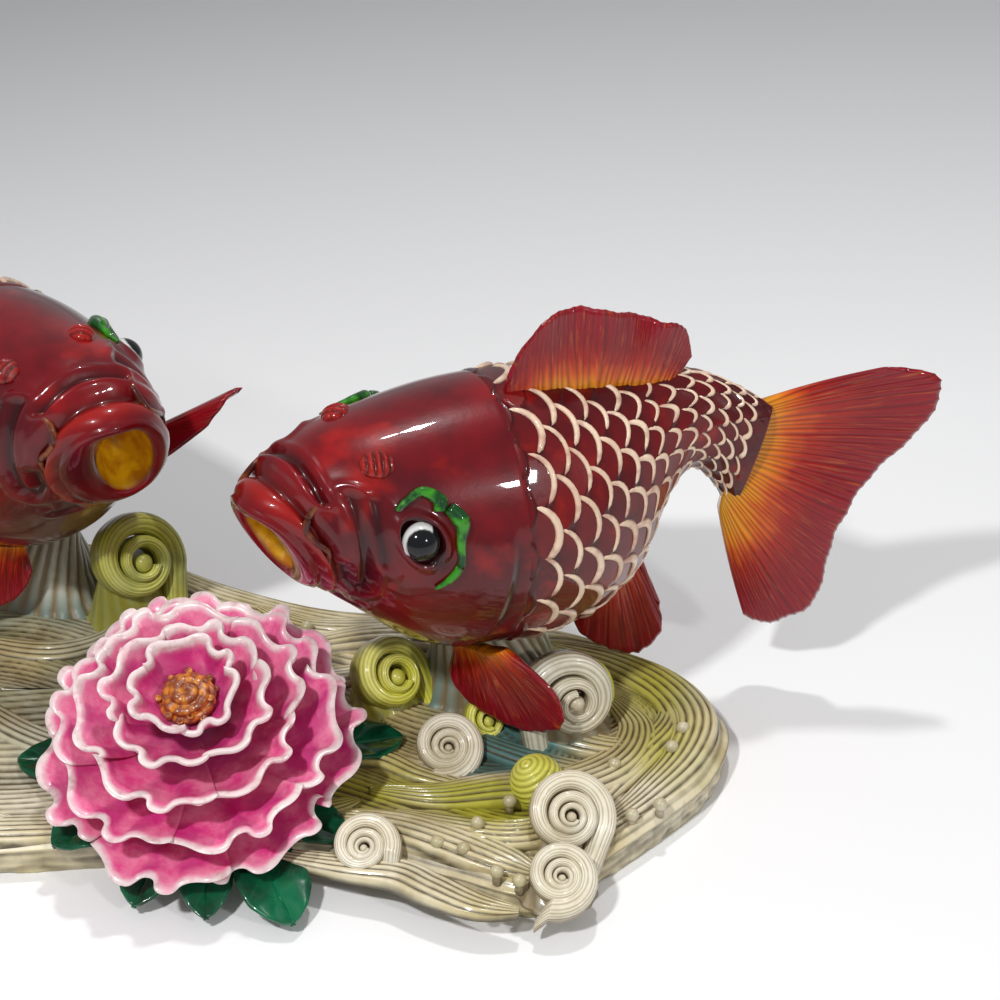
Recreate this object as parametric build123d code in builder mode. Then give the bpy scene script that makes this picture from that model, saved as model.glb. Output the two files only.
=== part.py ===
"""Carp and peony ornament: two carp over a wave base with a peony between them.

Lengths are millimetres and angles are degrees.  +Z is up and -Y is the front.
The origin is on the flat underside of the base, under its middle.
Values whose names end in share or shares are fractions of the size named beside them.
"""
import os
from math import cos, pi, radians, sin

from build123d import *

# Wave base
BASE_LENGTH = 350.0
BASE_DEPTH = 199.0
BASE_THICKNESS = 12.0
BASE_EDGE_ROUND = 3.0
BAND_HEIGHT = 5.0
BEAD_DIAMETER = 4.6
BEAD_POST_DIAMETER = 2.4
BEAD_POST_HEIGHT = 3.1
BEAD_SEAT_SHARE = 0.25
BAND_END_SHARE = 0.45

# Coiled wave scrolls, as radius and depth of the turned coil
SCROLL_RADIUS = 12.5
SCROLL_DEPTH = 9.0
CURL_RADIUS = 12.0
CURL_DEPTH = 16.0
COIL_TAPER = 8.0

# Wave crests that carry the carp
CREST_LENGTH = 58.0
CREST_DEPTH = 44.0
CREST_SINK = 9.0
CREST_PLACE = 0.44
PIN_DIAMETER = 5.0
PIN_BITE = 12.0

# Carp, from lip to tail root along the spine
CARP_LENGTH = 180.0
CARP_HEIGHT = 97.0
CARP_WIDTH = 82.0
LIP_DIAMETER = 9.0
MOUTH_DEPTH = 24.0
MOUTH_MARGIN = 3.0
LIP_INSET = 2.25
GILL_GROOVE_DIAMETER = 2.0
EYE_DIAMETER = 13.0
BROW_DIAMETER = 3.6
BROW_KNOB_DIAMETER = 5.4
NOSTRIL_DIAMETER = 8.0
BARBEL_DIAMETER = 2.8
FIN_ROOT_THICKNESS = 5.0
FIN_EDGE_THICKNESS = 2.0
TAIL_ROOT_THICKNESS = 8.0
TAIL_EDGE_THICKNESS = 2.6

# Peony, measured on its own rim plane
PEONY_RADIUS = 53.0
PEONY_HEIGHT = 34.0
PEONY_CENTRE = (1.0, -40.0, 36.0)
PEONY_TILT = 22.0
PEONY_CORE_RADIUS = 8.5
PEONY_CORE_DROP = 30.0
PETAL_THICKNESS = 2.2
PETAL_RUFFLE = 2.4
STAMEN_DIAMETER = 2.6
STAMEN_LENGTH = 7.0
STAMEN_SPLAY = 4.0
STAMEN_COUNT = 7
TIER_TURN = 23.0
STEM_PIN_DIAMETER = 4.0
STEM_PIN_LENGTH = 20.0
LEAF_THICKNESS = 1.8
LEAF_FOLD = 3.0

# Outline of the base, as shares of its length and depth
outline_shares = (
    (0.320, -0.437), (0.380, -0.352), (0.442, -0.251), (0.486, -0.161), (0.509, -0.040),
    (0.486, 0.060), (0.429, 0.171), (0.343, 0.251), (0.229, 0.290), (0.100, 0.320),
    (-0.010, 0.400), (-0.110, 0.495), (-0.236, 0.553), (-0.343, 0.528), (-0.434, 0.412),
    (-0.486, 0.226), (-0.491, 0.025), (-0.451, -0.161), (-0.371, -0.281), (-0.257, -0.342),
    (-0.129, -0.332), (0.0, -0.312), (0.129, -0.322), (0.234, -0.390),
)

# Stations along a carp: share of its length, centre (shares of the length, from the
# body centre), half height and half width (shares of the half height and half width),
# heading and rise of the spine in degrees
station_shares = (0.0, 0.050, 0.116, 0.211, 0.334, 0.465, 0.579, 0.678, 0.771, 0.843, 0.913, 1.0)
spine_shares = (
    (-0.412, -0.200, 0.054), (-0.367, -0.178, 0.061), (-0.307, -0.150, 0.057),
    (-0.227, -0.106, 0.034), (-0.120, -0.050, 0.011), (0.0, 0.0, 0.0),
    (0.107, 0.039, 0.008), (0.195, 0.067, 0.042), (0.266, 0.089, 0.098),
    (0.333, 0.100, 0.122), (0.395, 0.106, 0.091), (0.456, 0.106, 0.029),
)
height_shares = (0.423, 0.557, 0.701, 0.845, 0.969, 1.0, 0.928, 0.773, 0.515, 0.381, 0.392, 0.474)
width_shares = (0.415, 0.585, 0.744, 0.890, 0.988, 1.0, 0.915, 0.720, 0.488, 0.317, 0.232, 0.146)
headings = (44, 38, 32, 27.5, 25, 22, 19, 16, 13, 9, 5, 2)
rises = (24, 14, 6, 0, -2, 0, 6, 10, 8, 0, -8, -14)
loft_station_shares = (0.0, 0.08, 0.18, 0.30, 0.43, 0.56, 0.68, 0.78, 0.86, 0.93, 1.0)
BODY_ROLL = 7.0
MEAN_HEADING = 22.0
MIRROR_STATION_SHARE = 0.36

# Fins as rays: root and tip of each ray, as shares of the carp's length from the body centre
dorsal_ray_shares = (
    ((-0.017, -0.058, 0.227), (-0.005, -0.055, 0.300)),
    ((0.022, -0.045, 0.227), (0.033, -0.040, 0.361)),
    ((0.062, -0.023, 0.224), (0.067, -0.031, 0.403)),
    ((0.105, -0.006, 0.220), (0.115, 0.003, 0.406)),
    ((0.148, 0.012, 0.217), (0.165, 0.011, 0.397)),
    ((0.190, 0.030, 0.214), (0.220, 0.047, 0.372)),
    ((0.230, 0.047, 0.210), (0.268, 0.053, 0.353)),
    ((0.265, 0.059, 0.204), (0.312, 0.080, 0.333)),
    ((0.290, 0.067, 0.197), (0.342, 0.086, 0.272)),
)
tail_ray_shares = (
    ((0.447, 0.106, 0.150), (0.745, 0.117, 0.236)),
    ((0.442, 0.106, 0.128), (0.805, 0.119, 0.186)),
    ((0.437, 0.106, 0.102), (0.778, 0.125, 0.094)),
    ((0.432, 0.106, 0.076), (0.724, 0.117, 0.017)),
    ((0.426, 0.106, 0.050), (0.668, 0.108, -0.052)),
    ((0.420, 0.106, 0.024), (0.634, 0.103, -0.130)),
    ((0.415, 0.106, 0.000), (0.622, 0.097, -0.215)),
    ((0.411, 0.106, -0.030), (0.603, 0.097, -0.300)),
    ((0.406, 0.106, -0.058), (0.545, 0.099, -0.355)),
    ((0.401, 0.106, -0.086), (0.480, 0.102, -0.386)),
)
lowered_ray_shares = (
    ((-0.102, -0.098, -0.255), (-0.117, -0.112, -0.317)),
    ((-0.092, -0.106, -0.248), (-0.094, -0.122, -0.350)),
    ((-0.080, -0.118, -0.242), (-0.061, -0.142, -0.375)),
    ((-0.066, -0.130, -0.236), (-0.017, -0.168, -0.386)),
    ((-0.053, -0.142, -0.230), (0.031, -0.202, -0.384)),
    ((-0.040, -0.155, -0.226), (0.069, -0.226, -0.366)),
    ((-0.028, -0.164, -0.220), (0.095, -0.246, -0.338)),
    ((-0.016, -0.172, -0.214), (0.099, -0.248, -0.298)),
    ((-0.006, -0.176, -0.208), (0.080, -0.236, -0.252)),
)
raised_ray_shares = (
    ((-0.190, 0.070, -0.150), (-0.330, 0.060, -0.130)),
    ((-0.180, 0.080, -0.152), (-0.420, 0.095, -0.050)),
    ((-0.168, 0.090, -0.154), (-0.480, 0.130, 0.020)),
    ((-0.155, 0.098, -0.156), (-0.490, 0.165, 0.030)),
    ((-0.142, 0.106, -0.158), (-0.430, 0.190, -0.020)),
    ((-0.130, 0.112, -0.160), (-0.330, 0.200, -0.090)),
    ((-0.118, 0.118, -0.162), (-0.230, 0.190, -0.150)),
)
anal_ray_shares = (
    ((0.150, 0.048, -0.160), (0.117, 0.040, -0.317)),
    ((0.165, 0.052, -0.155), (0.155, 0.045, -0.350)),
    ((0.180, 0.056, -0.148), (0.200, 0.052, -0.383)),
    ((0.192, 0.060, -0.140), (0.240, 0.060, -0.400)),
    ((0.203, 0.063, -0.132), (0.275, 0.066, -0.392)),
    ((0.213, 0.066, -0.124), (0.302, 0.070, -0.350)),
    ((0.222, 0.068, -0.116), (0.298, 0.072, -0.300)),
    ((0.230, 0.070, -0.108), (0.270, 0.072, -0.262)),
)

# Places on a carp's skin: share of the length, and angle round the body in degrees
# (0 faces the viewer's side, 90 is the back ridge)
EYE_PLACE = (0.194, 23.0)
EYE_SINK_SHARE = 0.14
NOSTRIL_PLACE = (0.158, 64.0)
BROW_PLACES = ((0.158, 39.0), (0.210, 46.5), (0.234, 37.0))
SCROLL_PLACES = ((0.252, 38.0), (0.264, 22.0), (0.212, 0.0))
BARBEL_PLACES = ((0.064, 52.0), (0.030, 40.0), (0.034, 8.0))
GILL_PLACES = ((0.385, 52.0), (0.372, 8.0), (0.315, 308.0))

# Bands of water on the base: route (shares of the base length and depth) and widest width
bands = {
    "water_band_front": (17.0, (
        (0.105, -0.262), (0.170, -0.285), (0.230, -0.325), (0.285, -0.368), (0.318, -0.398))),
    "water_band_rim": (17.0, (
        (0.372, -0.295), (0.420, -0.215), (0.462, -0.120), (0.476, -0.020), (0.450, 0.075),
        (0.400, 0.150), (0.335, 0.205))),
    "water_band_middle": (19.0, (
        (0.160, -0.195), (0.225, -0.215), (0.290, -0.195), (0.350, -0.190), (0.400, -0.130),
        (0.418, -0.040), (0.395, 0.050))),
    "water_band_back": (18.0, (
        (0.050, 0.175), (0.110, 0.205), (0.180, 0.222), (0.250, 0.215), (0.300, 0.185))),
    "water_band_left": (19.0, (
        (-0.430, 0.180), (-0.448, 0.060), (-0.415, -0.080), (-0.340, -0.200), (-0.250, -0.262),
        (-0.170, -0.272))),
    "water_band_left_back": (17.0, (
        (-0.060, 0.395), (-0.120, 0.440), (-0.200, 0.485), (-0.290, 0.480), (-0.360, 0.420),
        (-0.410, 0.320))),
}

# Rounds of a coil: width (share of its radius), foot and top (shares of its depth)
coil_round_shares = ((1.0, -0.50, 0.06), (0.72, 0.06, 0.30), (0.40, 0.30, 0.50))

# Coils: centre (shares of the base length and depth), height of the centre over the base
# top, radius and depth (shares of the coil's radius and depth), and the direction faced
# (degrees round Z from +X, and degrees upwards)
scrolls = {
    "scroll_middle": (0.229, -0.111, 0.42, 1.08, 1.0, -80, 55),
    "scroll_upper": (0.343, -0.302, 0.62, 1.15, 1.3, -85, 48),
    "scroll_lower": (0.334, -0.432, 0.45, 1.05, 1.0, -80, 62),
    "scroll_left_front": (0.158, -0.352, 0.42, 0.86, 0.9, -100, 60),
    "scroll_left": (-0.330, -0.080, 0.60, 1.10, 1.2, -100, 55),
}
curls = {
    "curl_yellow_large": (0.171, 0.045, 0.75, 1.15, 1.0, -50, 40),
    "curl_yellow_small": (0.268, -0.030, 0.40, 0.70, 0.6, -70, 35),
    "bud_yellow": (0.318, -0.212, 0.85, 0.75, 0.55, -90, 70),
    "curl_olive_right": (0.365, 0.035, 0.55, 0.95, 0.9, -40, 35),
    "crest_curl_right": (0.352, -0.045, 0.95, 1.35, 0.8, -75, 20),
    "crest_curl_left": (-0.100, 0.290, 1.50, 1.60, 1.1, -50, 30),
    "crest_curl_left_low": (-0.110, 0.040, 0.70, 1.00, 0.9, -60, 35),
}

# Beads of foam: shares of the base length and depth
bead_shares = (
    (0.449, -0.110), (0.392, -0.155), (0.292, -0.248), (0.262, -0.300), (0.372, -0.240),
    (0.226, -0.345), (0.250, -0.360), (0.432, -0.255), (0.405, -0.280), (0.280, -0.412),
    (0.300, -0.432), (0.462, -0.060), (-0.300, -0.260), (-0.360, -0.020), (-0.440, 0.140),
    (-0.250, 0.440), (-0.060, 0.330), (0.080, 0.230),
)

# Petal tiers: count, and (radius, height) of rim, middle and heel (shares of the
# peony's radius and height)
petal_tiers = (
    ("petals_outer", 9, (1.0, 0.0), (0.56, -0.200), (0.09, -0.150)),
    ("petals_second", 8, (0.86, 0.33), (0.50, 0.060), (0.09, 0.030)),
    ("petals_third", 7, (0.68, 0.63), (0.40, 0.290), (0.09, 0.210)),
    ("petals_fourth", 6, (0.49, 0.87), (0.30, 0.540), (0.08, 0.400)),
    ("petals_inner", 5, (0.31, 1.02), (0.20, 0.730), (0.07, 0.580)),
)
PETAL_GAP_ANGLE = 2.5
PETAL_STEPS = 6
PETAL_CROWN_SHARE = 0.10
PETAL_EDGE_SHARE = 0.8

# Mouth hollow: depth (share of the mouth's depth) and spread; crest: height and spread;
# peony core: radius and height (shares of the core's radius, and of its drop or its top)
mouth_shares = ((0.5, 0.72), (1.0, 0.3))
crest_round_shares = ((0.0, 1.0), (0.45, 0.72), (1.0, 0.62))
core_foot_shares = ((1.8, 1.0), (1.5, 0.62), (1.0, 0.25))
core_top_shares = ((0.95, 0.8), (0.7, 1.0))
STAMEN_SEAT_SHARE = 0.70
STAMEN_RING_SHARE = 0.42
STEM_PIN_FOOT_SHARE = 0.33

# Leaves: direction round the stem in degrees, reach and widest width (shares of the
# peony's radius), and drop of the tip below the leaf's heel (share of the base thickness)
leaves = {
    "leaf_right": (14, 1.26, 0.40, 0.0),
    "leaf_front_right": (-36, 1.12, 0.34, 0.0),
    "leaf_front_large": (-62, 1.36, 0.44, 0.70),
    "leaf_front": (-84, 1.16, 0.34, 0.70),
    "leaf_front_left": (-107, 1.10, 0.36, 0.70),
    "leaf_left_front": (-140, 1.10, 0.40, 0.0),
    "leaf_left": (176, 1.22, 0.42, 0.0),
    "leaf_back": (120, 0.95, 0.38, 0.0),
}
LEAF_RISE = 0.6
LEAF_HEEL_SHARE = 1.15
LEAF_BEND_SHARE = 0.48

# Rounds of a leaf: share of its way out, and width (share of its widest)
leaf_round_shares = ((0.0, 0.14), (0.30, 0.22), (0.52, 0.70), (0.72, 1.0), (0.90, 0.62), (1.0, 0.10))


def base_point(share_x, share_y, height=0.0):
    """A point over the base, given in shares of its length and depth"""
    return Vector(share_x * BASE_LENGTH, share_y * BASE_DEPTH, height)


def read_table(values, share):
    """A station table read at any share of the length, as a cubic with mean end slopes"""
    last = len(station_shares) - 1
    here = max(i for i in range(last) if station_shares[i] <= share)

    def slope(i):
        low, high = max(i - 1, 0), min(i + 1, last)
        return (values[high] - values[low]) * (1 / (station_shares[high] - station_shares[low]))

    gap = station_shares[here + 1] - station_shares[here]
    part = (share - station_shares[here]) / gap
    lift = (slope(here) * (part * (1 - part) ** 2) - slope(here + 1) * (part**2 * (1 - part))) * gap
    weight = 3 * part**2 - 2 * part**3
    return values[here] * (1 - weight) + values[here + 1] * weight + lift


class Carp:
    """Where a carp is: its side (-1 is mirrored), turn about Z, nose-up tilt and centre"""

    def __init__(self, name, side, turn, nose_up, centre):
        self.name = name
        self.side = side
        self.turn = turn
        self.nose_up = nose_up
        self.centre = Vector(*centre)

    def direction(self, x, y, z):
        heading = radians(MEAN_HEADING)
        across = Axis((0, 0, 0), (-sin(heading), cos(heading), 0))
        tilted = Vector(x, y, z).rotate(across, self.nose_up)
        return Vector(self.side * tilted.X, tilted.Y, tilted.Z).rotate(Axis.Z, self.turn)

    def place(self, shares):
        """A point given in shares of the carp's length from its body centre"""
        return self.centre + self.direction(*shares) * CARP_LENGTH

    def frame(self, share):
        """Centre, forward, outward and upward directions and half sizes at a station"""
        heading = radians(read_table(headings, share))
        rise = radians(read_table(rises, share))
        roll = radians(BODY_ROLL)
        forward = Vector(cos(heading) * cos(rise), sin(heading) * cos(rise), sin(rise))
        level = Vector(sin(heading), -cos(heading), 0)
        upright = forward.cross(level) * -1
        outward = level * cos(roll) - upright * sin(roll)
        upward = upright * cos(roll) + level * sin(roll)
        centre = read_table([Vector(*p) for p in spine_shares], share)
        half_width = read_table(width_shares, share) * CARP_WIDTH / 2
        half_height = read_table(height_shares, share) * CARP_HEIGHT / 2
        turned = [self.direction(*tuple(v)) for v in (forward, outward, upward)]
        return self.place(tuple(centre)), *turned, half_width, half_height

    def plane(self, share):
        centre, forward, outward, _, _, _ = self.frame(share)
        return Plane(origin=centre, x_dir=outward, z_dir=forward)

    def skin(self, place, lift=0.0):
        """A point on the skin at a share of the length and an angle round the body"""
        share, angle = place
        centre, _, outward, upward, half_width, half_height = self.frame(share)
        turn = radians(angle)
        out, up = (half_width + lift) * cos(turn), (half_height + lift) * sin(turn)
        return centre + outward * out + upward * up

    def sides(self, place):
        """A place on the skin and its twin on the other side of the body"""
        share, angle = place
        return (share, angle), (share, 180 - angle)


RIGHT_CARP = Carp("right", 1, 0.0, 0.0, (102.4, 18.0, 89.0))
LEFT_CARP = Carp("left", -1, -20.0, 3.0, (-86.3, 80.1, 89.9))


def finish(part, name):
    """Name a finished piece and write it out"""
    part.label = name
    export_step(part, f"parts/{name}.step")
    return part


def cut_from(shape, name, *hosts, whole=False):
    """A piece with the room of its hosts taken out of it; a whole one keeps only its largest solid"""
    with BuildPart() as piece:
        add(shape)
        for host in hosts:
            add(host, mode=Mode.SUBTRACT)
    kept = piece.part.solids().sort_by(SortBy.VOLUME)[-1] if whole else piece.part
    return finish(kept, name)


def make_plinth():
    """Flat cast slab with a flowing outline and a softened top edge"""
    with BuildPart() as plinth:
        with BuildSketch():
            with BuildLine():
                Spline([base_point(x, y) for x, y in outline_shares], periodic=True)
            make_face()
        extrude(amount=BASE_THICKNESS)
        fillet(plinth.edges().group_by(Axis.Z)[-1], BASE_EDGE_ROUND)
        with BuildSketch(stem_pin_plane()):
            Circle(STEM_PIN_DIAMETER / 2)
        extrude(amount=STEM_PIN_LENGTH, mode=Mode.SUBTRACT)
    return plinth.part


def make_band(width, route):
    """Rounded strand of water lying on the base top, swelling and thinning on its way"""
    points = [base_point(x, y, BASE_THICKNESS) for x, y in route]
    last = len(points) - 1
    with BuildPart() as band:
        for i, point in enumerate(points):
            ahead = points[min(i + 1, last)] - points[max(i - 1, 0)]
            swell = BAND_END_SHARE + (1 - BAND_END_SHARE) * sin(pi * (i + 0.5) / (last + 1))
            half = width / 2 * swell
            with BuildSketch(Plane(origin=point, x_dir=ahead.cross(Vector(0, 0, 1)), z_dir=ahead)):
                with BuildLine():
                    Line((-half, 0), (half, 0))
                    ThreePointArc((-half, 0), (0, -BAND_HEIGHT * swell), (half, 0))
                make_face()
        loft()
    return band.part


def make_coil(place, radius, depth):
    """Turned snail coil of three rounds, cut flat where it stands on the base"""
    share_x, share_y, lift, radius_share, depth_share, heading, up = place
    outer = radius * radius_share
    tall = depth * depth_share
    heading, up = radians(heading), radians(up)
    facing = Vector(cos(heading) * cos(up), sin(heading) * cos(up), sin(up))
    centre = base_point(share_x, share_y, BASE_THICKNESS + lift * outer)
    beside = Vector(-sin(heading), cos(heading), 0)
    with BuildPart() as coil:
        for wide, low, high in coil_round_shares:
            with BuildSketch(Plane(origin=centre + facing * (tall * low), x_dir=beside, z_dir=facing)):
                Circle(outer * wide)
            extrude(amount=tall * (high - low), taper=COIL_TAPER)
        split(bisect_by=Plane.XY.offset(BASE_THICKNESS), keep=Keep.TOP)
    return coil.part


def make_crest(carp, along):
    """Wave mound from the base top up to the carp's belly"""
    foot = crest_foot(carp, along)
    top = carp.skin((along, 270.0)).Z + CREST_SINK
    rise = top - BASE_THICKNESS
    with BuildPart() as crest:
        for share, spread in crest_round_shares:
            with BuildSketch(Plane(origin=foot + Vector(0, 0, rise * share), x_dir=carp.direction(1, 0, 0),
                                   z_dir=(0, 0, 1))):
                Ellipse(CREST_LENGTH / 2 * spread, CREST_DEPTH / 2 * spread)
        loft()
    return crest.part


def crest_foot(carp, along):
    under = carp.skin((along, 270.0))
    return Vector(under.X, under.Y, BASE_THICKNESS)


def make_pin(carp, along):
    """Upright steel pin that ties a crest to the carp above it"""
    under = carp.skin((along, 270.0))
    with BuildPart() as pin:
        with BuildSketch(Plane(origin=under - Vector(0, 0, PIN_BITE), z_dir=(0, 0, 1))):
            Circle(PIN_DIAMETER / 2)
        extrude(amount=2 * PIN_BITE)
    return pin.part


def make_body(carp, pin):
    """Cast body: lofted rounds with lips, a hollow mouth and a groove behind each gill"""
    mouth = carp.plane(0.0)
    half_width = width_shares[0] * CARP_WIDTH / 2 - LIP_INSET
    half_height = height_shares[0] * CARP_HEIGHT / 2 - LIP_INSET
    with BuildPart() as body:
        for share in loft_station_shares:
            with BuildSketch(carp.plane(share)):
                Ellipse(read_table(width_shares, share) * CARP_WIDTH / 2,
                        read_table(height_shares, share) * CARP_HEIGHT / 2)
        loft()
        with BuildLine(mouth) as lip_route:
            EllipticalCenterArc((0, 0), half_width, half_height)
        with BuildSketch(Plane(origin=lip_route.line @ 0, z_dir=lip_route.line % 0)):
            Circle(LIP_DIAMETER / 2)
        sweep(path=lip_route.line)
        hollow = [(-LIP_DIAMETER, 1)] + [(MOUTH_DEPTH * depth, spread) for depth, spread in mouth_shares]
        for depth, spread in hollow:
            with BuildSketch(mouth.offset(depth)):
                Ellipse((half_width - MOUTH_MARGIN) * spread, (half_height - MOUTH_MARGIN) * spread)
        loft(mode=Mode.SUBTRACT)
        for start, middle, end in zip(*(carp.sides(place) for place in GILL_PLACES)):
            with BuildLine() as groove:
                ThreePointArc(carp.skin(start), carp.skin(middle), carp.skin(end))
            with BuildSketch(Plane(origin=groove.line @ 0, z_dir=groove.line % 0)):
                Circle(GILL_GROOVE_DIAMETER / 2)
            sweep(path=groove.line, mode=Mode.SUBTRACT)
        add(pin, mode=Mode.SUBTRACT)
    return body.part


def make_fin(carp, rays, root_thickness, edge_thickness, mirrored=False):
    """Blade through straight rays, each a thin strip that tapers from root to edge"""
    roots = [carp.place(root) for root, _ in rays]
    tips = [carp.place(tip) for _, tip in rays]
    if mirrored:
        roots = [across_body(carp, point) for point in roots]
        tips = [across_body(carp, point) for point in tips]
    across = (tips[0] - roots[0]).cross(tips[-1] - roots[-1]).normalized()
    with BuildPart() as fin:
        for root, tip in zip(roots, tips):
            ray = tip - root
            with BuildSketch(Plane(origin=root, x_dir=ray, z_dir=ray.cross(across))):
                Polygon((0, -root_thickness / 2), (ray.length, -edge_thickness / 2),
                        (ray.length, edge_thickness / 2), (0, root_thickness / 2), align=None)
        loft()
    return fin.part


def across_body(carp, point):
    """The twin of a point on the other side of the carp's middle plane"""
    centre, _, outward, _, _, _ = carp.frame(MIRROR_STATION_SHARE)
    return point - outward * (2 * (point - centre).dot(outward))


def make_trim(carp, places, width, knobs=()):
    """Bent raised cords on both sides of the head, with a knob where one is named"""
    with BuildPart() as trim:
        for start, middle, end in zip(*(carp.sides(place) for place in places)):
            with BuildLine() as route:
                ThreePointArc(carp.skin(start), carp.skin(middle), carp.skin(end))
            with BuildSketch(Plane(origin=route.line @ 0, z_dir=route.line % 0)):
                Circle(width / 2)
            sweep(path=route.line)
        for place in knobs:
            for twin in carp.sides(place):
                with Locations(carp.skin(twin)):
                    Sphere(BROW_KNOB_DIAMETER / 2)
    return trim.part


def make_studs(carp, place, diameter, sink):
    """A ball on each side of the head, sunk into the skin"""
    with BuildPart() as studs:
        for twin in carp.sides(place):
            with Locations(carp.skin(twin, -sink)):
                Sphere(diameter / 2)
    return studs.part


def build_carp(carp, along):
    """All the pieces of one carp, with the crest and the pin that carry it"""
    name = carp.name
    pin = finish(make_pin(carp, along), f"support_pin_{name}")
    body = finish(make_body(carp, pin), f"carp_{name}_body")
    crest = cut_from(make_crest(carp, along), f"crest_{name}", body, pin)
    far_rays = raised_ray_shares if carp is LEFT_CARP else lowered_ray_shares
    near = make_fin(carp, lowered_ray_shares, FIN_ROOT_THICKNESS, FIN_EDGE_THICKNESS)
    far = make_fin(carp, far_rays, FIN_ROOT_THICKNESS, FIN_EDGE_THICKNESS, carp is RIGHT_CARP)
    dorsal = make_fin(carp, dorsal_ray_shares, FIN_ROOT_THICKNESS, FIN_EDGE_THICKNESS)
    anal = make_fin(carp, anal_ray_shares, FIN_ROOT_THICKNESS, FIN_EDGE_THICKNESS)
    tail = make_fin(carp, tail_ray_shares, TAIL_ROOT_THICKNESS, TAIL_EDGE_THICKNESS)
    brow = make_trim(carp, BROW_PLACES, BROW_DIAMETER, (BROW_PLACES[0], BROW_PLACES[2]))
    hook = make_trim(carp, SCROLL_PLACES, BROW_DIAMETER, (SCROLL_PLACES[2],))
    eyes = cut_from(make_studs(carp, EYE_PLACE, EYE_DIAMETER, EYE_SINK_SHARE * EYE_DIAMETER),
                    f"carp_{name}_eyes", body)
    cut_from(dorsal, f"carp_{name}_dorsal_fin", body, whole=True)
    cut_from(tail, f"carp_{name}_tail_fin", body, whole=True)
    cut_from(near, f"carp_{name}_pectoral_near", body, whole=True)
    cut_from(far, f"carp_{name}_pectoral_far", body, whole=True)
    cut_from(anal, f"carp_{name}_anal_fin", body, whole=True)
    cut_from([brow, hook], f"carp_{name}_brow_scrolls", body, eyes)
    cut_from(make_studs(carp, NOSTRIL_PLACE, NOSTRIL_DIAMETER, 0.0), f"carp_{name}_nostrils", body)
    cut_from(make_trim(carp, BARBEL_PLACES, BARBEL_DIAMETER), f"carp_{name}_barbels", body)
    return body, crest


def peony_plane():
    tilt = radians(PEONY_TILT)
    return Plane(origin=PEONY_CENTRE, x_dir=(1, 0, 0), z_dir=(0, -sin(tilt), cos(tilt)))


def stem_foot():
    """Where the peony's stem axis meets the base top"""
    centre = Vector(*PEONY_CENTRE)
    axis = peony_plane().z_dir
    return centre - axis * ((centre.Z - BASE_THICKNESS) / axis.Z)


def stem_pin_plane():
    foot = stem_foot()
    return Plane(origin=foot - Vector(0, 0, STEM_PIN_LENGTH * STEM_PIN_FOOT_SHARE), z_dir=(0, 0, 1))


def make_core(stem_pin):
    """Tapered core of the peony, from the base top to the stamens"""
    tall = PEONY_HEIGHT * STAMEN_SEAT_SHARE
    below = [(PEONY_CORE_RADIUS * wide, -PEONY_CORE_DROP * low) for wide, low in core_foot_shares]
    upper = [(PEONY_CORE_RADIUS * wide, tall * high) for wide, high in core_top_shares]
    with BuildPart() as core:
        profile = Plane(origin=peony_plane().origin, x_dir=(1, 0, 0), z_dir=peony_plane().y_dir * -1)
        with BuildSketch(profile):
            with BuildLine():
                Polyline((0, -PEONY_CORE_DROP), *below, *upper, (0, tall), close=True)
            make_face()
        revolve(axis=Axis(peony_plane().origin, peony_plane().z_dir))
        split(bisect_by=Plane.XY.offset(BASE_THICKNESS), keep=Keep.TOP)
        add(stem_pin, mode=Mode.SUBTRACT)
    return core.part


def make_petals(count, rim, middle, heel, turn):
    """One tier of ruffled petals, each lofted through seven bent strips"""
    pitch = 360 / count
    spread = pitch - PETAL_GAP_ANGLE
    tiers = []
    for petal_index in range(count):
        with BuildPart() as petal:
            for step in range(PETAL_STEPS + 1):
                share = step / PETAL_STEPS
                angle = radians(turn + pitch * petal_index + spread * (share - 0.5))
                crown = 1 - PETAL_CROWN_SHARE * (2 * share - 1) ** 2
                wave = PETAL_RUFFLE * (1 if step % 2 else -1) * rim[0]
                outer = Vector(rim[0] * PEONY_RADIUS * crown, rim[1] * PEONY_HEIGHT + wave)
                bend = Vector(middle[0] * PEONY_RADIUS, middle[1] * PEONY_HEIGHT)
                inner = Vector(heel[0] * PEONY_RADIUS, heel[1] * PEONY_HEIGHT)
                skin = Vector(0, PETAL_THICKNESS)
                radial = peony_plane().x_dir * cos(angle) + peony_plane().y_dir * sin(angle)
                sideways = radial.cross(peony_plane().z_dir)
                with BuildSketch(Plane(origin=peony_plane().origin, x_dir=radial, z_dir=sideways)):
                    with BuildLine():
                        ThreePointArc(inner, bend, outer)
                        Line(outer, outer + skin * PETAL_EDGE_SHARE)
                        ThreePointArc(outer + skin * PETAL_EDGE_SHARE, bend + skin, inner + skin)
                        Line(inner + skin, inner)
                    make_face()
            loft()
        tiers.append(petal.part)
    return tiers


def make_stamens():
    """Ring of stamen heads on short stalks round a middle one"""
    seat = PEONY_HEIGHT * STAMEN_SEAT_SHARE
    ring = PEONY_CORE_RADIUS * STAMEN_RING_SHARE
    with BuildPart() as stamens:
        with BuildSketch(peony_plane().offset(seat)):
            with PolarLocations(ring, STAMEN_COUNT):
                Circle(STAMEN_DIAMETER / 2)
            Circle(STAMEN_DIAMETER / 2)
        extrude(amount=STAMEN_LENGTH, taper=-STAMEN_SPLAY)
    return stamens.part


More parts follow.
